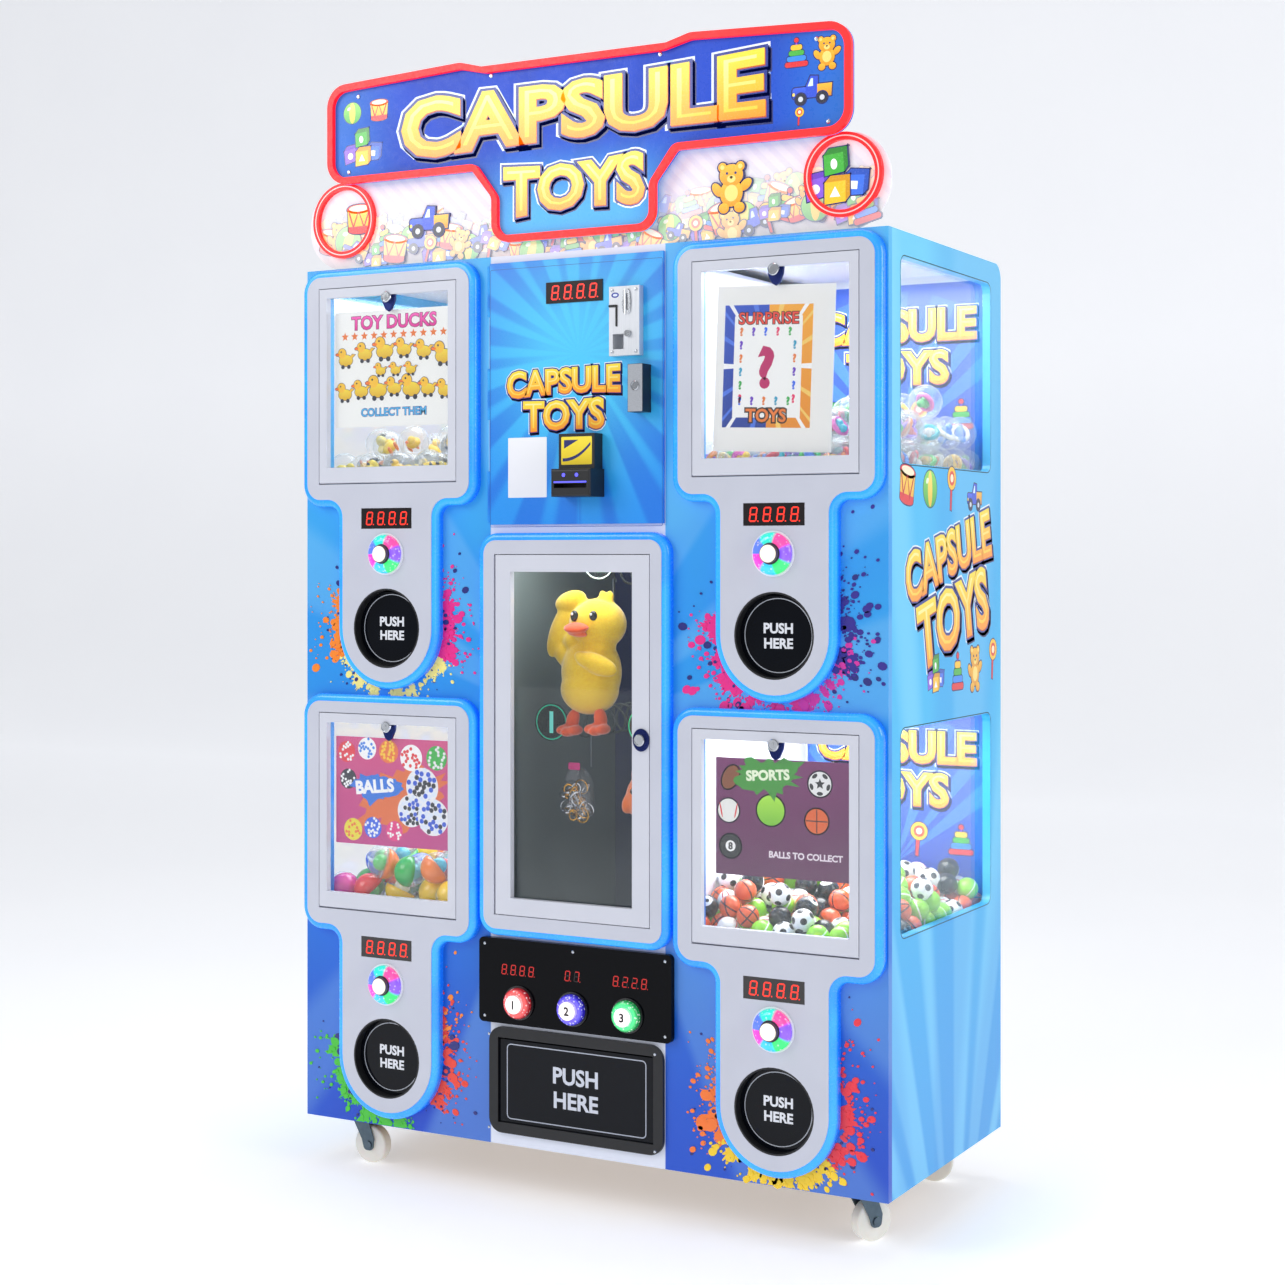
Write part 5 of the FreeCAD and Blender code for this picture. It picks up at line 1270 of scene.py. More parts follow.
def turned(profile, sides=40):
    """Profile rows (radius, height): point = (r cos a, r sin a, h)."""
    r, h = np.array(profile, float).T
    a = np.linspace(0, 2 * np.pi, sides, endpoint=False)
    rings = np.stack([np.outer(r, np.cos(a)), np.outer(r, np.sin(a)),
                      np.repeat(h[:, None], sides, axis=1)], axis=2)
    return skin(rings)


def pressed(outline, depth, ease=0.6):
    """Outline carried up by depth; the last ring is grown inwards by ease."""
    outline = outline if area_of(outline) > 0 else outline[::-1]
    steps = ((outline, 0.0), (outline, depth - ease), (grown(outline, -ease), depth))
    return skin([np.column_stack([ring, np.full(len(ring), h)]) for ring, h in steps])


def egg(centre, radii, tilt=0.0, lean=0.0, rows=16, sides=24):
    """Point = centre + R (a sin t cos p, b sin t sin p, c cos t), t from pole to pole."""
    t = np.linspace(0.04, np.pi - 0.04, rows)[:, None]
    p = np.linspace(0, 2 * np.pi, sides, endpoint=False)[None]
    flat = np.stack([radii[0] * np.sin(t) * np.cos(p), radii[1] * np.sin(t) * np.sin(p),
                     radii[2] * np.cos(t) * np.ones_like(p)], axis=2)
    c, s = math.cos(math.radians(tilt)), math.sin(math.radians(tilt))
    e, f = math.cos(math.radians(lean)), math.sin(math.radians(lean))
    about_y = np.array([[c, 0, s], [0, 1, 0], [-s, 0, c]])
    about_x = np.array([[1, 0, 0], [0, e, -f], [0, f, e]])
    return skin(flat @ about_x.T @ about_y.T + np.array(centre, float))


def hoop_tube(radius, thick, sides=48, round_sides=10):
    """Torus: ((R + r cos q) cos p, (R + r cos q) sin p, r sin q); no caps are needed."""
    p = np.linspace(0, 2 * np.pi, sides, endpoint=False)[:, None]
    q = np.linspace(0, 2 * np.pi, round_sides, endpoint=False)[None]
    away = radius + thick * np.cos(q)
    points = np.stack([away * np.cos(p), away * np.sin(p), thick * np.sin(q) + 0 * p], axis=2)
    i, j = np.meshgrid(np.arange(sides), np.arange(round_sides), indexing="ij")
    k, m = (i + 1) % sides, (j + 1) % round_sides
    quads = np.stack([i * round_sides + j, k * round_sides + j, k * round_sides + m,
                      i * round_sides + m], axis=2)
    return points.reshape(-1, 3), quads.reshape(-1, 4).tolist()


def set_at(shape, x, y, z, facing="front"):
    """The same shape with its own height pointing the way it faces."""
    return place_on(facing, (x, y, z), shape[0]), shape[1]


def joined(*shapes):
    """Several closed shapes as one: points stacked, face numbers moved up to match."""
    points, faces, start = [], [], 0
    for p, f in shapes:
        points.append(p)
        faces += [[v + start for v in face] for face in f]
        start += len(p)
    return np.concatenate(points), faces


def build(name, shapes, mat, body="cabinet", slot="black_plastic", crisp=35):
    """Join closed shapes into one smooth piece that keeps edges sharper than crisp degrees."""
    made = new_object(name, *joined(*shapes), mat, body, slot, True)
    bm = bmesh.new()
    bm.from_mesh(made.data)
    bmesh.ops.recalc_face_normals(bm, faces=bm.faces)
    bm.to_mesh(made.data)
    bm.free()
    made.data.set_sharp_from_angle(angle=math.radians(crisp))
    print(name, len(made.data.polygons), "faces")
    return made


SCREW = ((0.4, 0.0), (3.4, 0.0), (3.2, 1.0), (2.2, 1.9), (1.0, 2.0), (0.9, 1.3), (0.2, 1.3))


def screws(spots, face, facing="front", size=1.0):
    """Domed screw heads at (x, z) spots on an upright face."""
    head = turned(np.array(SCREW) * size, 14)
    return [set_at(head, x, face, z, facing) for x, z in spots]


print("a screw head has", len(turned(SCREW, 14)[0]), "points")

# %% [markdown]
# ## Locks and screws
# Each station door has a cam lock in a dark blue shield plate at the top of its frame; the
# tall centre door has one on its right. The key plug is chrome with a slot sunk in its face.

# %% Locks on the doors
blue_shield = material("blue_anodised_shield", ("#12276E", "#0B1850"), 0.28, 2.0, 0.02,
                       Metallic=0.6)
PLUG = ((0.5, -6.0), (11.0, -6.0), (11.0, 7.0), (9.6, 8.4), (8.4, 8.4), (8.2, 6.4), (0.5, 6.4))
SHIELD = poly((-17, 12), (-10, 17), (10, 17), (17, 12), (15, -6), (8, -22), (0, -27), (-8, -22),
              (-15, -6))
LOCK_DROP = 66                                    # from a station's top to its lock
for n, cx in COLUMN.items():
    low, high = DOORS[n]
    z = TOP - (STATION_TOP[n] + LOCK_DROP)
    body = "station_door_%d_body" % n
    build("lock_shield_%d" % n, [set_at(pressed(SHIELD, 6, 1.4), cx, low[1] + 12, z)],
          blue_shield, body, "black_steel")
    build("lock_plug_%d" % n, [set_at(turned(PLUG, 32), cx, low[1] + 4, z + 1),
                               set_at(pressed(rounded(-1.2, -5, 1.2, 5, 0.6), 0.9, 0.2),
                                      cx, low[1] - 2.2, z + 1)],
          chrome, body, "chrome")
door_face, lock_x, lock_z = span("centre_door")[0][1], 152, TOP - 912
build("lock_shield_centre", [set_at(pressed(oval(0, 0, 17, 21, sides=36), 4, 1.4), lock_x,
                                    door_face, lock_z)],
      blue_shield, "centre_door_body", "black_steel")
build("lock_plug_centre", [set_at(turned(PLUG, 32), lock_x, door_face - 3, lock_z)],
      chrome, "centre_door_body", "chrome")

# %% Screws on the panel, the coin plate, the sign and the back
bright_zinc = material("bright_zinc_screw", ("#D9DDE2", "#B9BFC7"), 0.25, 1.5, 0.02, Metallic=0.9)
PANEL_LOW, PANEL_HIGH = span("control_panel")
panel_spots = [(x, z) for x in (-196, 196) for z in (PANEL_HIGH[2] - 12, PANEL_LOW[2] + 12)]
panel_spots.append((0, PANEL_HIGH[2] - 12))
build("panel_screws", screws(panel_spots, PANEL_LOW[1], size=0.9), bright_zinc, "cabinet",
      "chrome")
ACCEPTOR_FACE = COIN_FACE - 15.0
build("coin_plate_screws", screws([(x, TOP - t) for x in (90, 140) for t in (83, 197)],
                                  ACCEPTOR_FACE), bright_zinc, "coin_door_body", "chrome")
build("sign_screws", screws([(x, TOP + t) for x, t in ((-497, 338), (497, 338), (-184, 346),
                                                      (184, 346), (-520, 190), (520, 190))],
                            SIGN_FRONT, size=1.3), bright_zinc, "cabinet", "chrome")
back_spots = [(x, z) for x in (-560, -190, 190, 560) for z in np.linspace(180, 1740, 7)]
build("back_screws", screws(back_spots, BACK, "back", 1.5), bright_zinc, "cabinet", "chrome")
build("bin_screws", screws([(x, TOP - t) for x in (-180, 180) for t in (1486, 1664)],
                           span("flap_surrounds")[0][1], size=0.8),
      bright_zinc, "cabinet", "chrome")

# %% [markdown]
# ### Fittings on the coin door
# The coin plate has guides on both sides of its slot, a lever line and a small oval; the
# black note reader has a yellow label and a lit throat.

# %% Coin plate, lock box and note reader
SLOT_X = 121.0
LOCK_BOX_X, LOCK_BOX_FACE = 148.0, COIN_FACE - 33.0
guides = [set_at(pressed(poly((s * 2.6, -24), (s * 7.5, -19), (s * 9.5, 0), (s * 7.5, 19),
                              (s * 2.6, 24)), 3.2, 0.8), SLOT_X, ACCEPTOR_FACE, TOP - 105)
          for s in (-1, 1)]
build("coin_slot_guides", guides, chrome, "coin_door_body", "chrome")
build("coin_lever", [set_at(pressed(rounded(-1.6, -20, 1.6, 20, 1.2), 2.4, 0.5), 99,
                            ACCEPTOR_FACE, TOP - 130),
                     set_at(pressed(rounded(-9, -2.2, 9, 2.2, 1.5), 2.8, 0.5), 92,
                            ACCEPTOR_FACE, TOP - 112)],
      black_abs, "coin_door_body", "black_plastic")
plate_art = cut(oval(0, 0, 8, 5), "#14309C") + cut(oval(0, 0, 5, 2.4), "#DDE6FF", 2)
sheet_of_art("coin_plate_mark", "front", (96, ACCEPTOR_FACE, TOP - 92), plate_art,
             "coin_door_body", "brushed_steel")
build("lock_box_plug", [set_at(turned(np.array(PLUG) * 0.8, 30), LOCK_BOX_X,
                               LOCK_BOX_FACE + 3.6, TOP - 262)],
      chrome, "coin_door_body", "chrome")
sheet_of_art("lock_box_side", "left", (LOCK_BOX_X - 15.5, COIN_FACE - 16.5, TOP - 266),
             cut(rounded(-16, -43, 16, 43), ("#1A2A5C", "#0F1C48"), 1), "coin_door_body",
             "brushed_steel")
sheet_of_art("lock_box_face", "front", (LOCK_BOX_X, LOCK_BOX_FACE, TOP - 266),
             cut(rounded(-15, -43.4, 15, 43.4, 1), ("#9A9DA3", "#C4C7CC"), 1), "coin_door_body",
             "brushed_steel",
             material("granular_painted_steel", ("#B9BCC2", "#8E9299"), 0.6, 1.6, 0.3, 2.2))
nose = span("bill_acceptor")[0][1]                # front of the note reader's lip
bill_label = cut(rounded(-33, -26, 33, 26, 2), ("#F2D200", "#FFE83A"), 1)
sweep = np.linspace(0, 1, 14)
curve = np.stack([-30 + 60 * sweep, -20 + 30 * sweep ** 2.2], axis=1)
bill_label += cut(np.concatenate([curve, (curve + (0, 6))[::-1]]), "#16206A", 2)
bill_label += cut(poly((-27, 4), (4, 20), (-27, 20)), "#16206A", 3)
sheet_of_art("note_label", "front", (22, nose + 24.0, TOP - 378),
             bill_label, "coin_door_body", "black_plastic")
glow_blue = material("lit_blue_throat", ("#3D5BFF", "#6A4CFF"), 0.3, 3.0, glow=1.2)
throat = cut(rounded(-35, -1.4, 35, 1.4), ("#2B4BFF", "#7A5CFF"), 1)
sheet_of_art("note_throat_light", "front", (22, nose, TOP - 437), throat, "coin_door_body",
             "black_plastic", glow_blue)
sheet_of_art("note_status_lamps", "front", (22, nose, TOP - 424),
             cut(oval(-14, 0, 3.6), "#3D5BFF") + cut(oval(14, 0, 3.6), "#3D5BFF"),
             "coin_door_body", "black_plastic", glow_blue)

# %% [markdown]
# ### Seams, seals and lamp strips
# Fine dark lines show where a sheet or a pane ends: the seal round each side window and the
# joint round the coin door. A row of small white lamps lights each bin from the top of its
# rear wall.

# %% Seals round the side windows
seal_rubber = material("black_rubber_seal", ("#17181B", "#0E0F11"), 0.55, 1.0, 0.05)
for side, sign in (("right", 1), ("left", -1)):
    art = []
    for top, bottom in ((45, 410), (880, 1248)):
        y0, y1 = FRONT + 57 - SIDE_MIDDLE, FRONT + 520 - SIDE_MIDDLE
        if sign < 0:
            y0, y1 = -y1, -y0
        ring = rounded(y0 - 1.5, -bottom - 1.5, y1 + 1.5, -top + 1.5, 19)
        art += hoop(grown(ring, 1.6), 1.6, "#17181B", 1)
    sheet_of_art("window_seal_" + side, side, (sign * HALF, SIDE_MIDDLE, TOP), art,
                 slot="black_plastic", mat=seal_rubber)
sheet_of_art("coin_door_edge", "front", (0, COIN_FACE, TOP),
             hoop(rounded(-187.5, -519, 187.5, -26, 3), 1.0, "#1450A8", 1), "coin_door_body",
             "printed_steel")
lamp_white = material("lit_white_lamp_dots", ("#FFFFFF", "#F2F8FF"), 0.3, 2.0, glow=3.0)
strip = [plate for x in np.linspace(-185, 185, 19) for plate in
         cut(oval(x, 0, 2.6, sides=10), "#FFFFFF")]
for n, middle in BIN_MIDDLE.items():
    sheet_of_art("lamp_strip_%d" % n, "front", (middle, INSIDE_BACK - 2,
                                                TOP - STATION_TOP[n] - 12),
                 strip, slot="white_laminate_board", mat=lamp_white)

# %% [markdown]
# ## Stock in the bins
# A heap can't be drawn capsule by capsule, so it is let settle: the balls start at random,
# each step lowers them a little, and every pair that overlaps is pushed apart by half of the
# overlap. After a few hundred steps they rest on each other, on the floor and on the walls.

# %% Let the heap settle
def settled(count, radius, low, high, hub, seed, steps=420):
    """Centres of balls at rest in a box: push pairs apart, pull down, clamp to the walls."""
    draw = np.random.default_rng(seed)
    low, high = np.array(low) + radius, np.array(high) - radius
    spot = draw.uniform(low, np.minimum(high, low + (high - low) * (1, 1, 0.9)), (count, 3))
    for step in range(steps):
        spot[:, 2] -= radius * 0.05 * (1 - step / steps)
        gap = spot[:, None] - spot[None]
        away = np.sqrt((gap ** 2).sum(axis=2)) + np.eye(count) * 1e6
        push = np.clip(2 * radius - away, 0, None) / away * 0.5
        spot += (gap * push[:, :, None]).sum(axis=1) * 0.8
        off = spot - np.array(hub[0])
        reach = np.sqrt((off ** 2).sum(axis=1))
        spot += off * (np.clip(radius + hub[1] - reach, 0, None) / reach)[:, None]
        spot = np.clip(spot, low, high)
    return spot


BIN_SIDES, BIN_FRONT, BIN_BACK = (219.5, 608.5), -242.0, 301.0    # walls of a bin
BIN_DROP, BIN_HIGH = 432, 330                     # floor below a station's top, room above it
HEAPS = {1: (64, 33.5, 44), 2: (90, 34.0, 45), 3: (74, 32.0, 46), 4: (225, 21.5, 47)}
heap = {}
for n, (count, radius, seed) in HEAPS.items():
    side = math.copysign(1, COLUMN[n])
    floor_z = TOP - STATION_TOP[n] - BIN_DROP
    x0, x1 = sorted(side * x for x in BIN_SIDES)
    disc = centre_of("dispenser_disc_%d" % n)
    disc_top = span("dispenser_disc_%d" % n)[1][2]
    hub = ((disc[0], disc[1], floor_z - 6), max(6.0, disc_top - floor_z + 12))
    heap[n] = settled(count, radius, (x0, BIN_FRONT, floor_z + 1.0),
                      (x1, BIN_BACK, floor_z + BIN_HIGH), hub, seed)
    print("bin", n, "heap height", round(heap[n][:, 2].max() + radius - floor_z))

# %% [markdown]
# ### Capsules and what is in them
# A capsule is two shells of a sphere that meet in a raised band. The clear ones hold a tiny
# duck or a bright toy; the others have one half moulded in colour.

# %% Capsule shells
def turns_of(count, seed):
    """Random rotation matrices: unit quaternions (w, x, y, z) written out as 3 x 3."""
    q = np.random.default_rng(seed).normal(size=(count, 4))
    w, x, y, z = (q / np.linalg.norm(q, axis=1, keepdims=True)).T
    return np.stack([
        np.stack([1 - 2 * (y * y + z * z), 2 * (x * y - z * w), 2 * (x * z + y * w)], 1),
        np.stack([2 * (x * y + z * w), 1 - 2 * (x * x + z * z), 2 * (y * z - x * w)], 1),
        np.stack([2 * (x * z - y * w), 2 * (y * z + x * w), 1 - 2 * (x * x + y * y)], 1)], 1)


def repeated(name, shape, centres, turns, mat, slot, inks=None, spots=False):
    """One mesh of many copies of a small shape, each turned its own way; inks tint each copy."""
    points, faces = shape
    every = np.einsum("kij,nj->kni", turns, points) + centres[:, None]
    base = (np.arange(len(centres)) * len(points))[:, None]
    all_faces = [(np.array(face) + start[0]).tolist() for start in base for face in faces]
    made = new_object(name, every.reshape(-1, 3), all_faces, mat, "cabinet", slot, True)
    if inks is not None:
        layer = made.data.attributes.new("ink", "FLOAT_COLOR", "POINT")
        rgba = np.column_stack([inks, np.ones(len(inks))])
        layer.data.foreach_set("color", np.repeat(rgba, len(points), axis=0).ravel())
    if spots:
        layer = made.data.attributes.new("spot", "FLOAT_VECTOR", "POINT")
        way = points / np.linalg.norm(points, axis=1, keepdims=True)
        layer.data.foreach_set("vector", np.tile(way, (len(centres), 1)).ravel())
    print(name, len(made.data.polygons), "faces")
    return made


def whole_capsule(radius):
    """Sphere 1 mm under the radius, with a band round its middle: a narrow bell curve in t."""
    t = np.linspace(0.12, np.pi - 0.12, 10)
    r = (radius - 1.0) * np.sin(t) + 1.0 * np.exp(-((t - np.pi / 2) / 0.09) ** 2)
    return turned(np.column_stack([r, -(radius - 1.0) * np.cos(t)]), 18)


# Painted glow: the toys and the coloured capsule halves give a little light of their own, though
# they hold no lamp.
toy_plastic_painted_glow = material("moulded_toy_plastic", ink_paint, 0.28, 3.0, 0.0, glow=0.08,
                       Coat_Weight=0.4)
shell_plastic_painted_glow = material("moulded_capsule_half_painted_glow", ink_paint, 0.2, 3.0, 0.0, glow=0.05,
                         Coat_Weight=0.5)


def pick_inks(codes, count, seed):
    """One linear colour for each copy, drawn evenly from the codes."""
    inks = np.array([linear(code)[:3] for code in codes])
    return inks[np.random.default_rng(seed).integers(0, len(codes), count)]


# %% Clear capsules with a duck in them
little_duck = joined(egg((0, 0, -5), (17, 12, 11), rows=7, sides=10),
                     egg((-8, 0, 9), (9, 8.5, 9), rows=7, sides=10))
beak_and_wheels = joined(egg((-18, 0, 8), (5, 4, 2), rows=5, sides=8),
                         egg((-8, 0, -17), (4, 13, 4), rows=5, sides=8),
                         egg((8, 0, -17), (4, 13, 4), rows=5, sides=8))
upright = turns_of(len(heap[1]), 3)
repeated("duck_capsules", whole_capsule(33.5), heap[1], upright, capsule_clear, "clear_acrylic")
repeated("duck_toys", little_duck, heap[1], upright, toy_plastic_painted_glow, "lit_button",
         pick_inks(("#FFD91E", "#FFE23A", "#F7C812"), len(heap[1]), 5))
repeated("duck_beaks", beak_and_wheels, heap[1], upright, toy_plastic_painted_glow, "lit_button",
         pick_inks(("#F47A12", "#2A2C33"), len(heap[1]), 6))

# %% Clear capsules with mixed toys
BRIGHT = ("#E8303A", "#2A86F0", "#3CC24A", "#FFD21E", "#F05AB4", "#8A4AE0", "#F5F5F0", "#F08A1E",
          "#18B8C8")
mixed_turns = turns_of(len(heap[2]), 13)
lumps = joined(egg((0, 0, 0), (15, 9, 12), rows=6, sides=9),
               egg((12, 4, 8), (8, 8, 8), rows=6, sides=9),
               egg((-12, 2, -8), (7, 10, 6), rows=6, sides=9))
ring_toy = hoop_tube(16, 5, 14, 6)
repeated("surprise_capsules", whole_capsule(34.0), heap[2], mixed_turns, capsule_clear,
         "clear_acrylic")
repeated("surprise_lumps", lumps, heap[2], mixed_turns, toy_plastic_painted_glow, "lit_button",
         pick_inks(BRIGHT, len(heap[2]), 15))
repeated("surprise_rings", ring_toy, heap[2], turns_of(len(heap[2]), 16), toy_plastic_painted_glow, "lit_button",
         pick_inks(BRIGHT[::-1], len(heap[2]), 17))

# %% Half coloured, half clear capsules with a beaded ball
half = np.linspace(math.pi / 2, math.pi - 0.12, 6)
cup_shape = turned(np.column_stack([32.0 * np.sin(half), 32.0 * np.cos(half)])[::-1], 18)
lid = np.linspace(math.pi / 2, 0.12, 6)
lid_shape = turned(np.column_stack([31.4 * np.sin(lid), 31.4 * np.cos(lid) + 0.4]), 18)
half_turns = turns_of(len(heap[3]), 23)
repeated("bead_capsule_halves", cup_shape, heap[3], half_turns, shell_plastic_painted_glow, "lit_button",
         pick_inks(("#E82A2A", "#1E5AE0", "#FFD21E", "#23B04A", "#F07A1E", "#E83AA0",
                    "#14A0D8"), len(heap[3]), 25))
repeated("bead_capsule_lids", lid_shape, heap[3], half_turns, capsule_clear, "clear_acrylic")
repeated("bead_balls", egg((0, 0, 6), (17, 17, 17), rows=7, sides=10), heap[3], half_turns,
         toy_plastic_painted_glow, "lit_button", pick_inks(BRIGHT, len(heap[3]), 27))

# %% [markdown]
# ### Sports balls
# Each kind of ball is one mesh. The pattern is worked out from `spot`, the direction from the
# ball's own centre, stored on every point: a seam is where one coordinate is near zero, and a
# patch is where the direction lies close to a chosen axis.

# %% Ball patterns
def spot_of(tree):
    """Direction from the ball's centre, made unit length again between the points."""
    raw = add(tree, "Attribute", attribute_name="spot").outputs["Vector"]
    return add(tree, "VectorMath", {0: raw}, operation="NORMALIZE").outputs[0]


def near_axis(tree, spot, axis, wide):
    """Mask of a round patch: dot(spot, axis) above the cosine of wide degrees."""
    dot = add(tree, "VectorMath", {0: spot, 1: axis}, operation="DOT_PRODUCT")
    edge = math.cos(math.radians(wide))
    return fade(tree, dot.outputs["Value"], edge, edge + 0.02)


def seam_mask(tree, spot, axis, wide=0.05):
    """Mask of a great circle: the size of dot(spot, axis) below wide."""
    dot = add(tree, "VectorMath", {0: spot, 1: axis}, operation="DOT_PRODUCT")
    size = add(tree, "Math", {0: dot.outputs["Value"]}, operation="ABSOLUTE")
    return fade(tree, size.outputs[0], wide + 0.02, wide)


def eight_paint(tree, place):
    """Black, with a white spot that holds two dark dots."""
    spot = spot_of(tree)
    return layered(tree, linear("#0C0C10"), [
        (near_axis(tree, spot, (0, 0, 1), 34), linear("#F4F4F2")),
        (near_axis(tree, spot, (0.13, 0, 0.99), 14), linear("#0C0C10")),
        (near_axis(tree, spot, (-0.15, 0, 0.99), 12), linear("#0C0C10"))])


GOLDEN = (1 + 5 ** 0.5) / 2
AXES = [tuple(np.array(v) / math.hypot(1, GOLDEN)) for v in
        ((0, 1, GOLDEN), (0, -1, GOLDEN), (1, GOLDEN, 0), (-1, GOLDEN, 0), (GOLDEN, 0, 1),
         (GOLDEN, 0, -1))]


def soccer_paint(tree, place):
    """White, with a dark patch at each of an icosahedron's twelve corners."""
    spot = spot_of(tree)
    both = AXES + [tuple(-v for v in axis) for axis in AXES]
    return layered(tree, linear("#F6F6F4"), [(near_axis(tree, spot, axis, 19),
                                              linear("#101014")) for axis in both])


def basket_paint(tree, place):
    """Orange, with three dark seams."""
    spot = spot_of(tree)
    return layered(tree, linear("#E4581A"), [
        (seam_mask(tree, spot, axis), linear("#15151A"))
        for axis in ((1, 0, 0), (0, 1, 0), (0.7, 0, 0.7))])


def lime_paint(tree, place):
    """Lime green, paler at one end, with one white seam."""
    spot = spot_of(tree)
    return layered(tree, linear("#8EDB1E"), [
        (near_axis(tree, spot, (0, 0, 1), 30), linear("#B8F03A")),
        (seam_mask(tree, spot, (0.4, 0.9, 0.1), 0.06), linear("#F4FFE4"))])


def base_paint(tree, place):
    """White, with two red seams."""
    spot = spot_of(tree)
    return layered(tree, linear("#F7F5F0"), [
        (seam_mask(tree, spot, (0.94, 0.33, 0), 0.04), linear("#D8242C")),
        (seam_mask(tree, spot, (-0.94, 0.33, 0), 0.04), linear("#D8242C"))])


KINDS = (("eight", eight_paint), ("soccer", soccer_paint), ("basket", basket_paint),
         ("lime", lime_paint), ("base", base_paint))
order = np.random.default_rng(31).choice(5, len(heap[4]), p=(0.24, 0.22, 0.22, 0.2, 0.12))
ball_shape = egg((0, 0, 0), (21.5, 21.5, 21.5), rows=11, sides=16)
# Painted glow: each kind of ball gives a little light of its own, though it holds no lamp.
for k, (kind, paint) in enumerate(KINDS):
    mine = heap[4][order == k]
    repeated("stock_%s_balls" % kind, ball_shape, mine, turns_of(len(mine), 40 + k),
             material("printed_foam_%s_ball" % kind, paint, 0.3, 2.0, 0.0, glow=0.05,
                      Coat_Weight=0.4), "lit_button", spots=True)

# %% [markdown]
# ## Lamps inside
# Every bin and the plush window is lit from its top edge. The lamps here stand for the lamp
# strips, so that the stock glows behind the glass.

# %% Inside lamps
COOL_WHITE = (0.95, 0.98, 1.0)
for n, middle in BIN_MIDDLE.items():
    x, height = middle * MM, (TOP - STATION_TOP[n] - 34) * MM
    lamp("bin_lamp_%d" % n, (x, 0.02, height), (x, 0.04, height - 1), 0.34,
         3.8 if n in (2, 4) else 2.2, COOL_WHITE)
lamp("plush_lamp", (-0.02, -0.13, (TOP - 530) * MM), (0, -0.06, (TOP - 1100) * MM), 0.2, 1.6,
     COOL_WHITE)

# %% [markdown]
# ## Plush prizes in the tall window
# A plush toy is stuffed cloth, so its limbs run into each other in soft creases. It is built
# from overlapping ellipsoids, wrapped in one skin by a voxel remesh and then relaxed. Short
# pile shows as a fine bump and a pale sheen at the edges.

# %% Plush skins
def pile_paint(deep, light):
    """Painter for plush in two shades."""
    def paint(tree, place):
        """Short pile lies in patches a few millimetres wide, so two shades mix finely."""
        patch = add(tree, "TexNoise", {"Vector": place, "Scale": 260.0, "Detail": 5.0})
        broad = add(tree, "TexNoise", {"Vector": place, "Scale": 18.0})
        return layered(tree, linear(deep), [(patch.outputs[0], linear(light)),
                                            (fade(tree, broad.outputs[0], 0.45, 0.7, 0.0, 0.3),
                                             linear(deep))])
    return paint


def plush(name, shapes, shades, voxel=0.0032, relax=8):
    """Voxel remesh at voxel metres, then relax passes of smoothing."""
    fur = material(name + "_pile", pile_paint(*shades), 0.9, 2.6, 1.6, Sheen_Weight=0.7,
                   Sheen_Roughness=0.45)
    rough = build(name + "_block", shapes, fur, "cabinet", "lit_button")
    remesh = rough.modifiers.new("wrap", "REMESH")
    remesh.mode, remesh.voxel_size, remesh.use_smooth_shade = "VOXEL", voxel, True
    smooth = rough.modifiers.new("relax", "SMOOTH")
    smooth.iterations, smooth.factor = relax, 0.6
    bpy.context.view_layer.update()
    whole = rough.evaluated_get(bpy.context.evaluated_depsgraph_get())
    wrapped = bpy.data.meshes.new_from_object(whole)
    wrapped.name = name
    made = bpy.data.objects.new(name, wrapped)
    SHARED.collection.objects.link(made)
    bpy.data.objects.remove(rough)
    wrapped.materials.clear()
    wrapped.materials.append(fur)
    wrapped.polygons.foreach_set("use_smooth", [True] * len(wrapped.polygons))
    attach(made, "cabinet")
    print(name, len(wrapped.polygons), "faces")
    return made


YELLOW, BILL_ORANGE = ("#E8AE00", "#FFE23A"), ("#D83A08", "#FF6A1E")
DUCK_X, DUCK_Y = -44.0, -122.0


def on_duck(dx, dy, t):
    """Point beside the duck's middle, t below the cabinet's top."""
    return (DUCK_X + dx, DUCK_Y + dy, TOP - t)


plush("plush_duck", [
    egg(on_duck(12, 0, 706), (58, 50, 50)), egg(on_duck(-4, 2, 800), (62, 52, 74)),
    egg(on_duck(-2, -8, 832), (60, 50, 50)), egg(on_duck(14, -4, 750), (36, 34, 30)),
    egg(on_duck(-66, -8, 716), (23, 16, 62), 24), egg(on_duck(-44, -10, 662), (36, 17, 20), -18),
    egg(on_duck(-58, -4, 764), (24, 20, 30), -28), egg(on_duck(-36, 0, 738), (26, 30, 26)),
    egg(on_duck(36, -44, 782), (46, 15, 20), 18), egg(on_duck(10, -54, 772), (22, 11, 13), 30),
    egg(on_duck(34, 4, 656), (10, 8, 16), 20), egg(on_duck(22, 2, 653), (8, 8, 14), -12)],
      YELLOW)
plush("plush_duck_bill", [egg(on_duck(-4, -56, 712), (25, 26, 9), 4, 12),
                          egg(on_duck(-4, -52, 723), (20, 20, 7), 4, -10)], BILL_ORANGE,
      0.0022)
for side, (dx, t, turn) in {"left": (-32, 892, 16), "right": (30, 888, -10)}.items():
    plush("plush_duck_foot_" + side, [
        egg(on_duck(dx, -22, t), (13, 14, 22), turn), egg(on_duck(dx - 13, -34, t + 19),
                                                         (11, 24, 10), -16),
        egg(on_duck(dx, -38, t + 22), (11, 26, 10)), egg(on_duck(dx + 13, -34, t + 19),
                                                        (11, 24, 10), 16)], BILL_ORANGE,
          0.0022)
bead_black = material("polished_black_bead", ("#08080A", "#040405"), 0.08, 6.0, Coat_Weight=0.6)
glint_white = material("painted_eye_glint", ("#FFFFFF", "#F2F2F2"), 0.7, 1.0, 0.1)
build("plush_duck_eyes", [egg(on_duck(dx, -43, 690), (8.5, 6, 11)) for dx in (-16, 26)],
      bead_black, "cabinet", "black_gloss_acrylic")
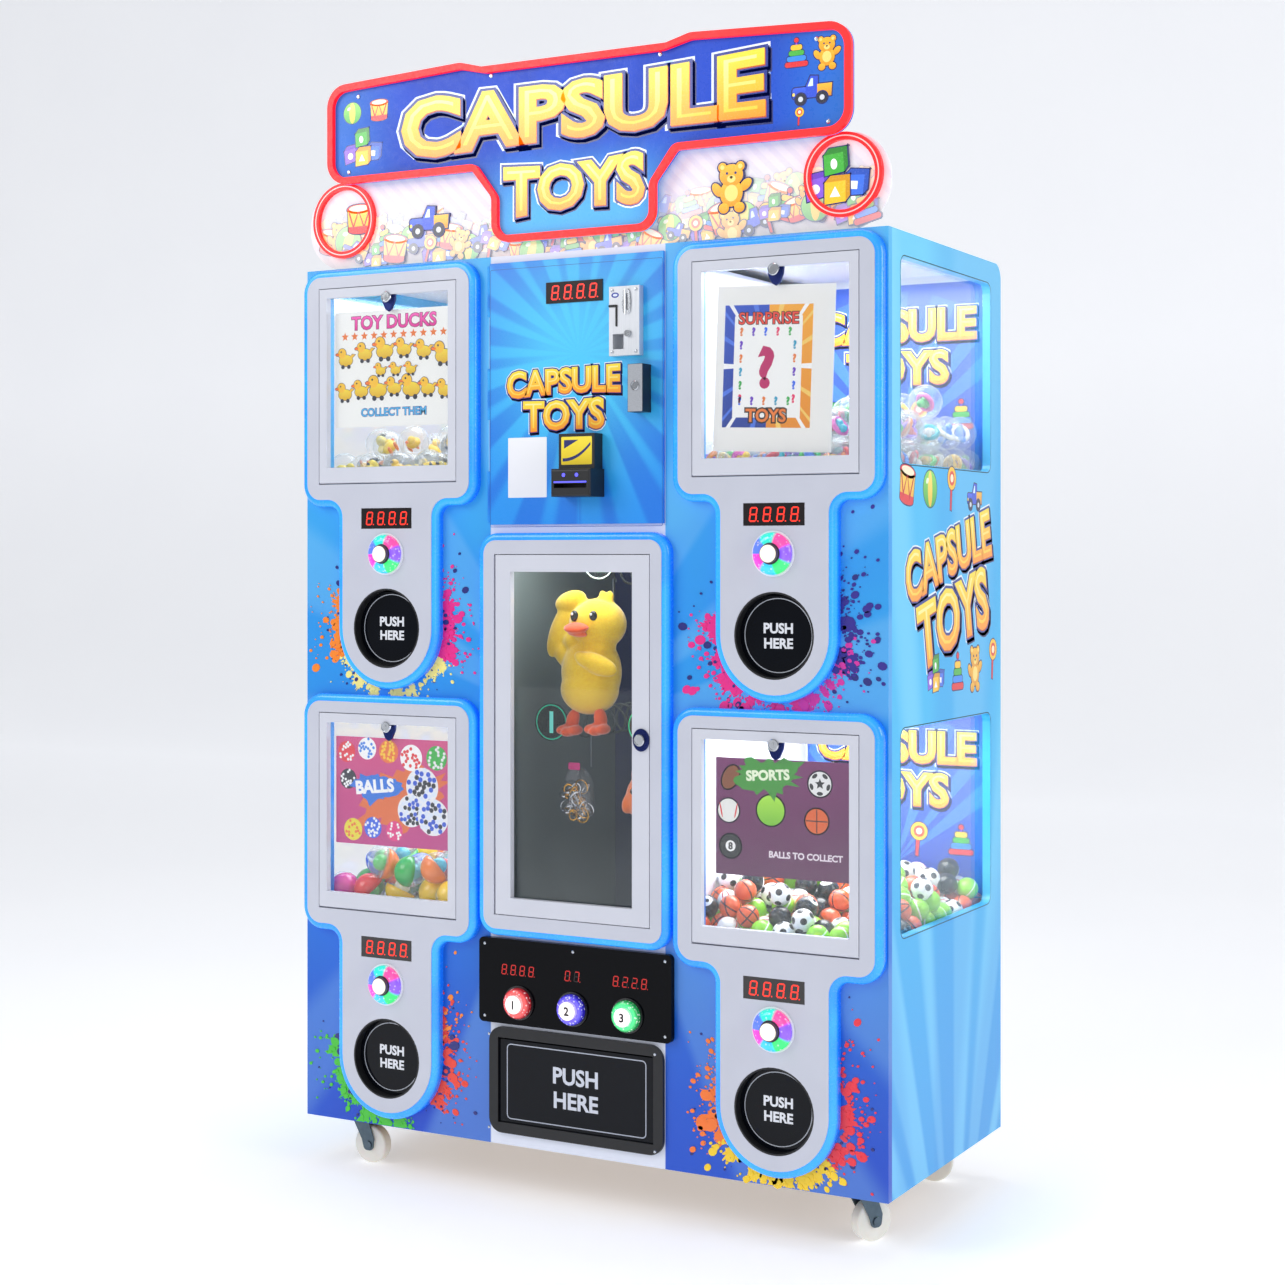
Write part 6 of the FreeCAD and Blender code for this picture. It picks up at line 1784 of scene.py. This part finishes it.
# Painted highlights: a small white egg on each eye stands for the glint of light on the black bead.
build("plush_duck_eye_glints", [egg(on_duck(dx, -48.5, 686), (2.6, 1.6, 2.8), rows=8, sides=12)
                                for dx in (-18, 24)], glint_white, "cabinet", "lit_button")

# %% A second plush and a bag of rings at the lower spirals
plush("plush_orange_ball", [
    egg((82, -124, TOP - 1036), (46, 42, 50)), egg((82, -128, TOP - 1078), (30, 24, 22)),
    egg((62, -126, TOP - 994), (17, 13, 19), -18), egg((102, -126, TOP - 994), (17, 13, 19), 18),
    egg((48, -140, TOP - 1046), (14, 15, 24), 24), egg((116, -136, TOP - 1046), (14, 15, 24), -24)],
      ("#E25A0A", "#FF8420"))
build("plush_orange_eyes", [egg((x, -165, TOP - 1022), (5, 3.5, 6), rows=10, sides=14)
                            for x in (68, 92)], bead_black, "cabinet", "black_gloss_acrylic")
gold = material("gold_plated_ring", ("#E8B23A", "#C88A1E"), 0.2, 3.0, 0.02, Metallic=1.0)
silver_ring = material("silver_plated_ring", ("#E4E6EA", "#B9BEC6"), 0.16, 3.0, 0.02,
                       Metallic=1.0)
draw = np.random.default_rng(77)
rings_in_bag = []
for k, turn in enumerate(turns_of(26, 78)):
    points, faces = hoop_tube(draw.uniform(9, 15), draw.uniform(1.2, 2.4), 26, 8)
    place = (-72 + draw.uniform(-24, 24), -134 + draw.uniform(-6, 6),
             TOP - 1046 - draw.uniform(-26, 34))
    rings_in_bag.append((points @ turn.T * (1, 0.45, 1) + place, faces))
build("bag_gold_rings", rings_in_bag[::2], gold, "cabinet", "chrome")
build("bag_silver_rings", rings_in_bag[1::2], silver_ring, "cabinet", "chrome")
bag_film = clear_sheet("crinkled_clear_bag", "#F6F3FA", 0.04)
u = np.linspace(0, 1, 22)
v = np.linspace(0, 2 * np.pi, 36, endpoint=False)
wide = 12 + 32 * np.sin(np.pi * np.clip(u, 0, 1)) ** 0.5 * (0.7 + 0.3 * u)
crease = 1 + 0.06 * np.sin(5 * v)[None] * np.sin(9 * u)[:, None]
bag_rings = np.stack([-72 + wide[:, None] * np.cos(v) * crease,
                      -134 + 0.42 * wide[:, None] * np.sin(v) * crease,
                      (TOP - 984 - 112 * u)[:, None] + 0 * v], axis=2)
bag = build("ring_bag", [skin(bag_rings)], bag_film, "cabinet", "clear_acrylic", 180)
build("bag_band", [set_at(pressed(rounded(-13, -7, 13, 7, 3), 1.4, 0.4), -72, -145, TOP - 982)],
      material("pink_printed_card", ("#F23A9A", "#D81E7E"), 0.5, 2.0, 0.02), "cabinet",
      "white_laminate_board")

# %% [markdown]
# ### Number discs and hooks
# Each spiral has a round number sign on a thin stem in front of it, and every prize hangs
# from the spiral by a bent wire hook.

# %% Discs 1, 2 and 3
sign_black = material("black_number_disc", ("#07120F", "#0B1A16"), 0.3, 4.0, Coat_Weight=0.4)
for n, (x, y, t, ink, rim) in {1: (-149, -104, 902, "#7FF4E6", "#27C8A0"),
                               2: (-46, -96, 584, "#3CE27A", "#E8FFF2"),
                               3: (60, -104, 902, "#4CF0C0", "#22D08A")}.items():
    build("number_disc_%d" % n, [set_at(turned(((0.5, 0), (36, 0), (37.5, 1.2), (37.5, 3),
                                                (0.5, 3)), 56), x, y + 3, TOP - t),
                                 set_at(turned(((1.6, -40), (1.6, 0)), 12), x, y + 3, TOP - t)],
          sign_black, "cabinet", "black_plastic")
    art = hoop(oval(0, 0, 35, sides=72), 2.4, rim, 1) + moved(words(str(n), 40, ink, 1, 1.6))
    sheet_of_art("number_disc_art_%d" % n, "front", (x, y, TOP - t), art, slot="lit_button",
                 mat=lit_ink)


def bent_wire(points, thick, sides=8):
    """Round wire through points; each ring stands across the run between its neighbours."""
    points = np.array(points, float)
    ahead = np.gradient(points, axis=0)
    ahead /= np.linalg.norm(ahead, axis=1, keepdims=True)
    first = np.cross(ahead, (0.31, 0.22, 0.93))
    first /= np.linalg.norm(first, axis=1, keepdims=True)
    second = np.cross(ahead, first)
    a = np.linspace(0, 2 * np.pi, sides, endpoint=False)
    rings = points[:, None] + thick * (first[:, None] * np.cos(a)[:, None]
                                       + second[:, None] * np.sin(a)[:, None])
    return skin(rings)


def hook(x, y, top_z, bottom_z):
    """Crook over the wire of a spiral, then a straight shank down to the prize."""
    a = np.linspace(math.pi, -0.4, 16)
    crook = np.stack([x + 0 * a, y + 6 * np.cos(a) + 6, top_z + 6 * np.sin(a)], axis=1)
    shank = np.linspace((x, y, bottom_z), (x, y, top_z - 1), 8)
    return bent_wire(np.concatenate([shank, crook]), 1.1)


low_2, low_1, low_3 = (span("prize_spiral_%d" % n)[0] for n in (2, 1, 3))
build("prize_hooks", [hook(DUCK_X + 14, -66, low_2[2] + 8, TOP - 674),
                      hook(-80, -66, low_1[2] + 6, TOP - 990),
                      hook(84, -66, low_3[2] + 8, TOP - 992)], zinc, "cabinet", "chrome")

# %% [markdown]
# ### Walls of the tall window
# The left partition and a sheet behind the prizes are covered with dark sheets that grow
# lighter towards the top: painted shade, so the plush stands out in front of them.

# %% Walls of the tall window
# Painted shade: dark sheets over the white walls, lighter towards the top.
sheet_of_art("plush_wall_left_painted_shade", "right", (-201.5, SIDE_MIDDLE, TOP),
             cut(rounded(-270, -1378, 266, -518), ("#5E6B69", "#7C8886"), 1),
             slot="white_laminate_board")
sheet_of_art("plush_wall_back_painted_shade", "front", (0, INSIDE_BACK - 62, TOP),
             cut(rounded(-200, -1378, 200, -518), ("#0D1A4A", "#16296A"), 1),
             slot="white_laminate_board")
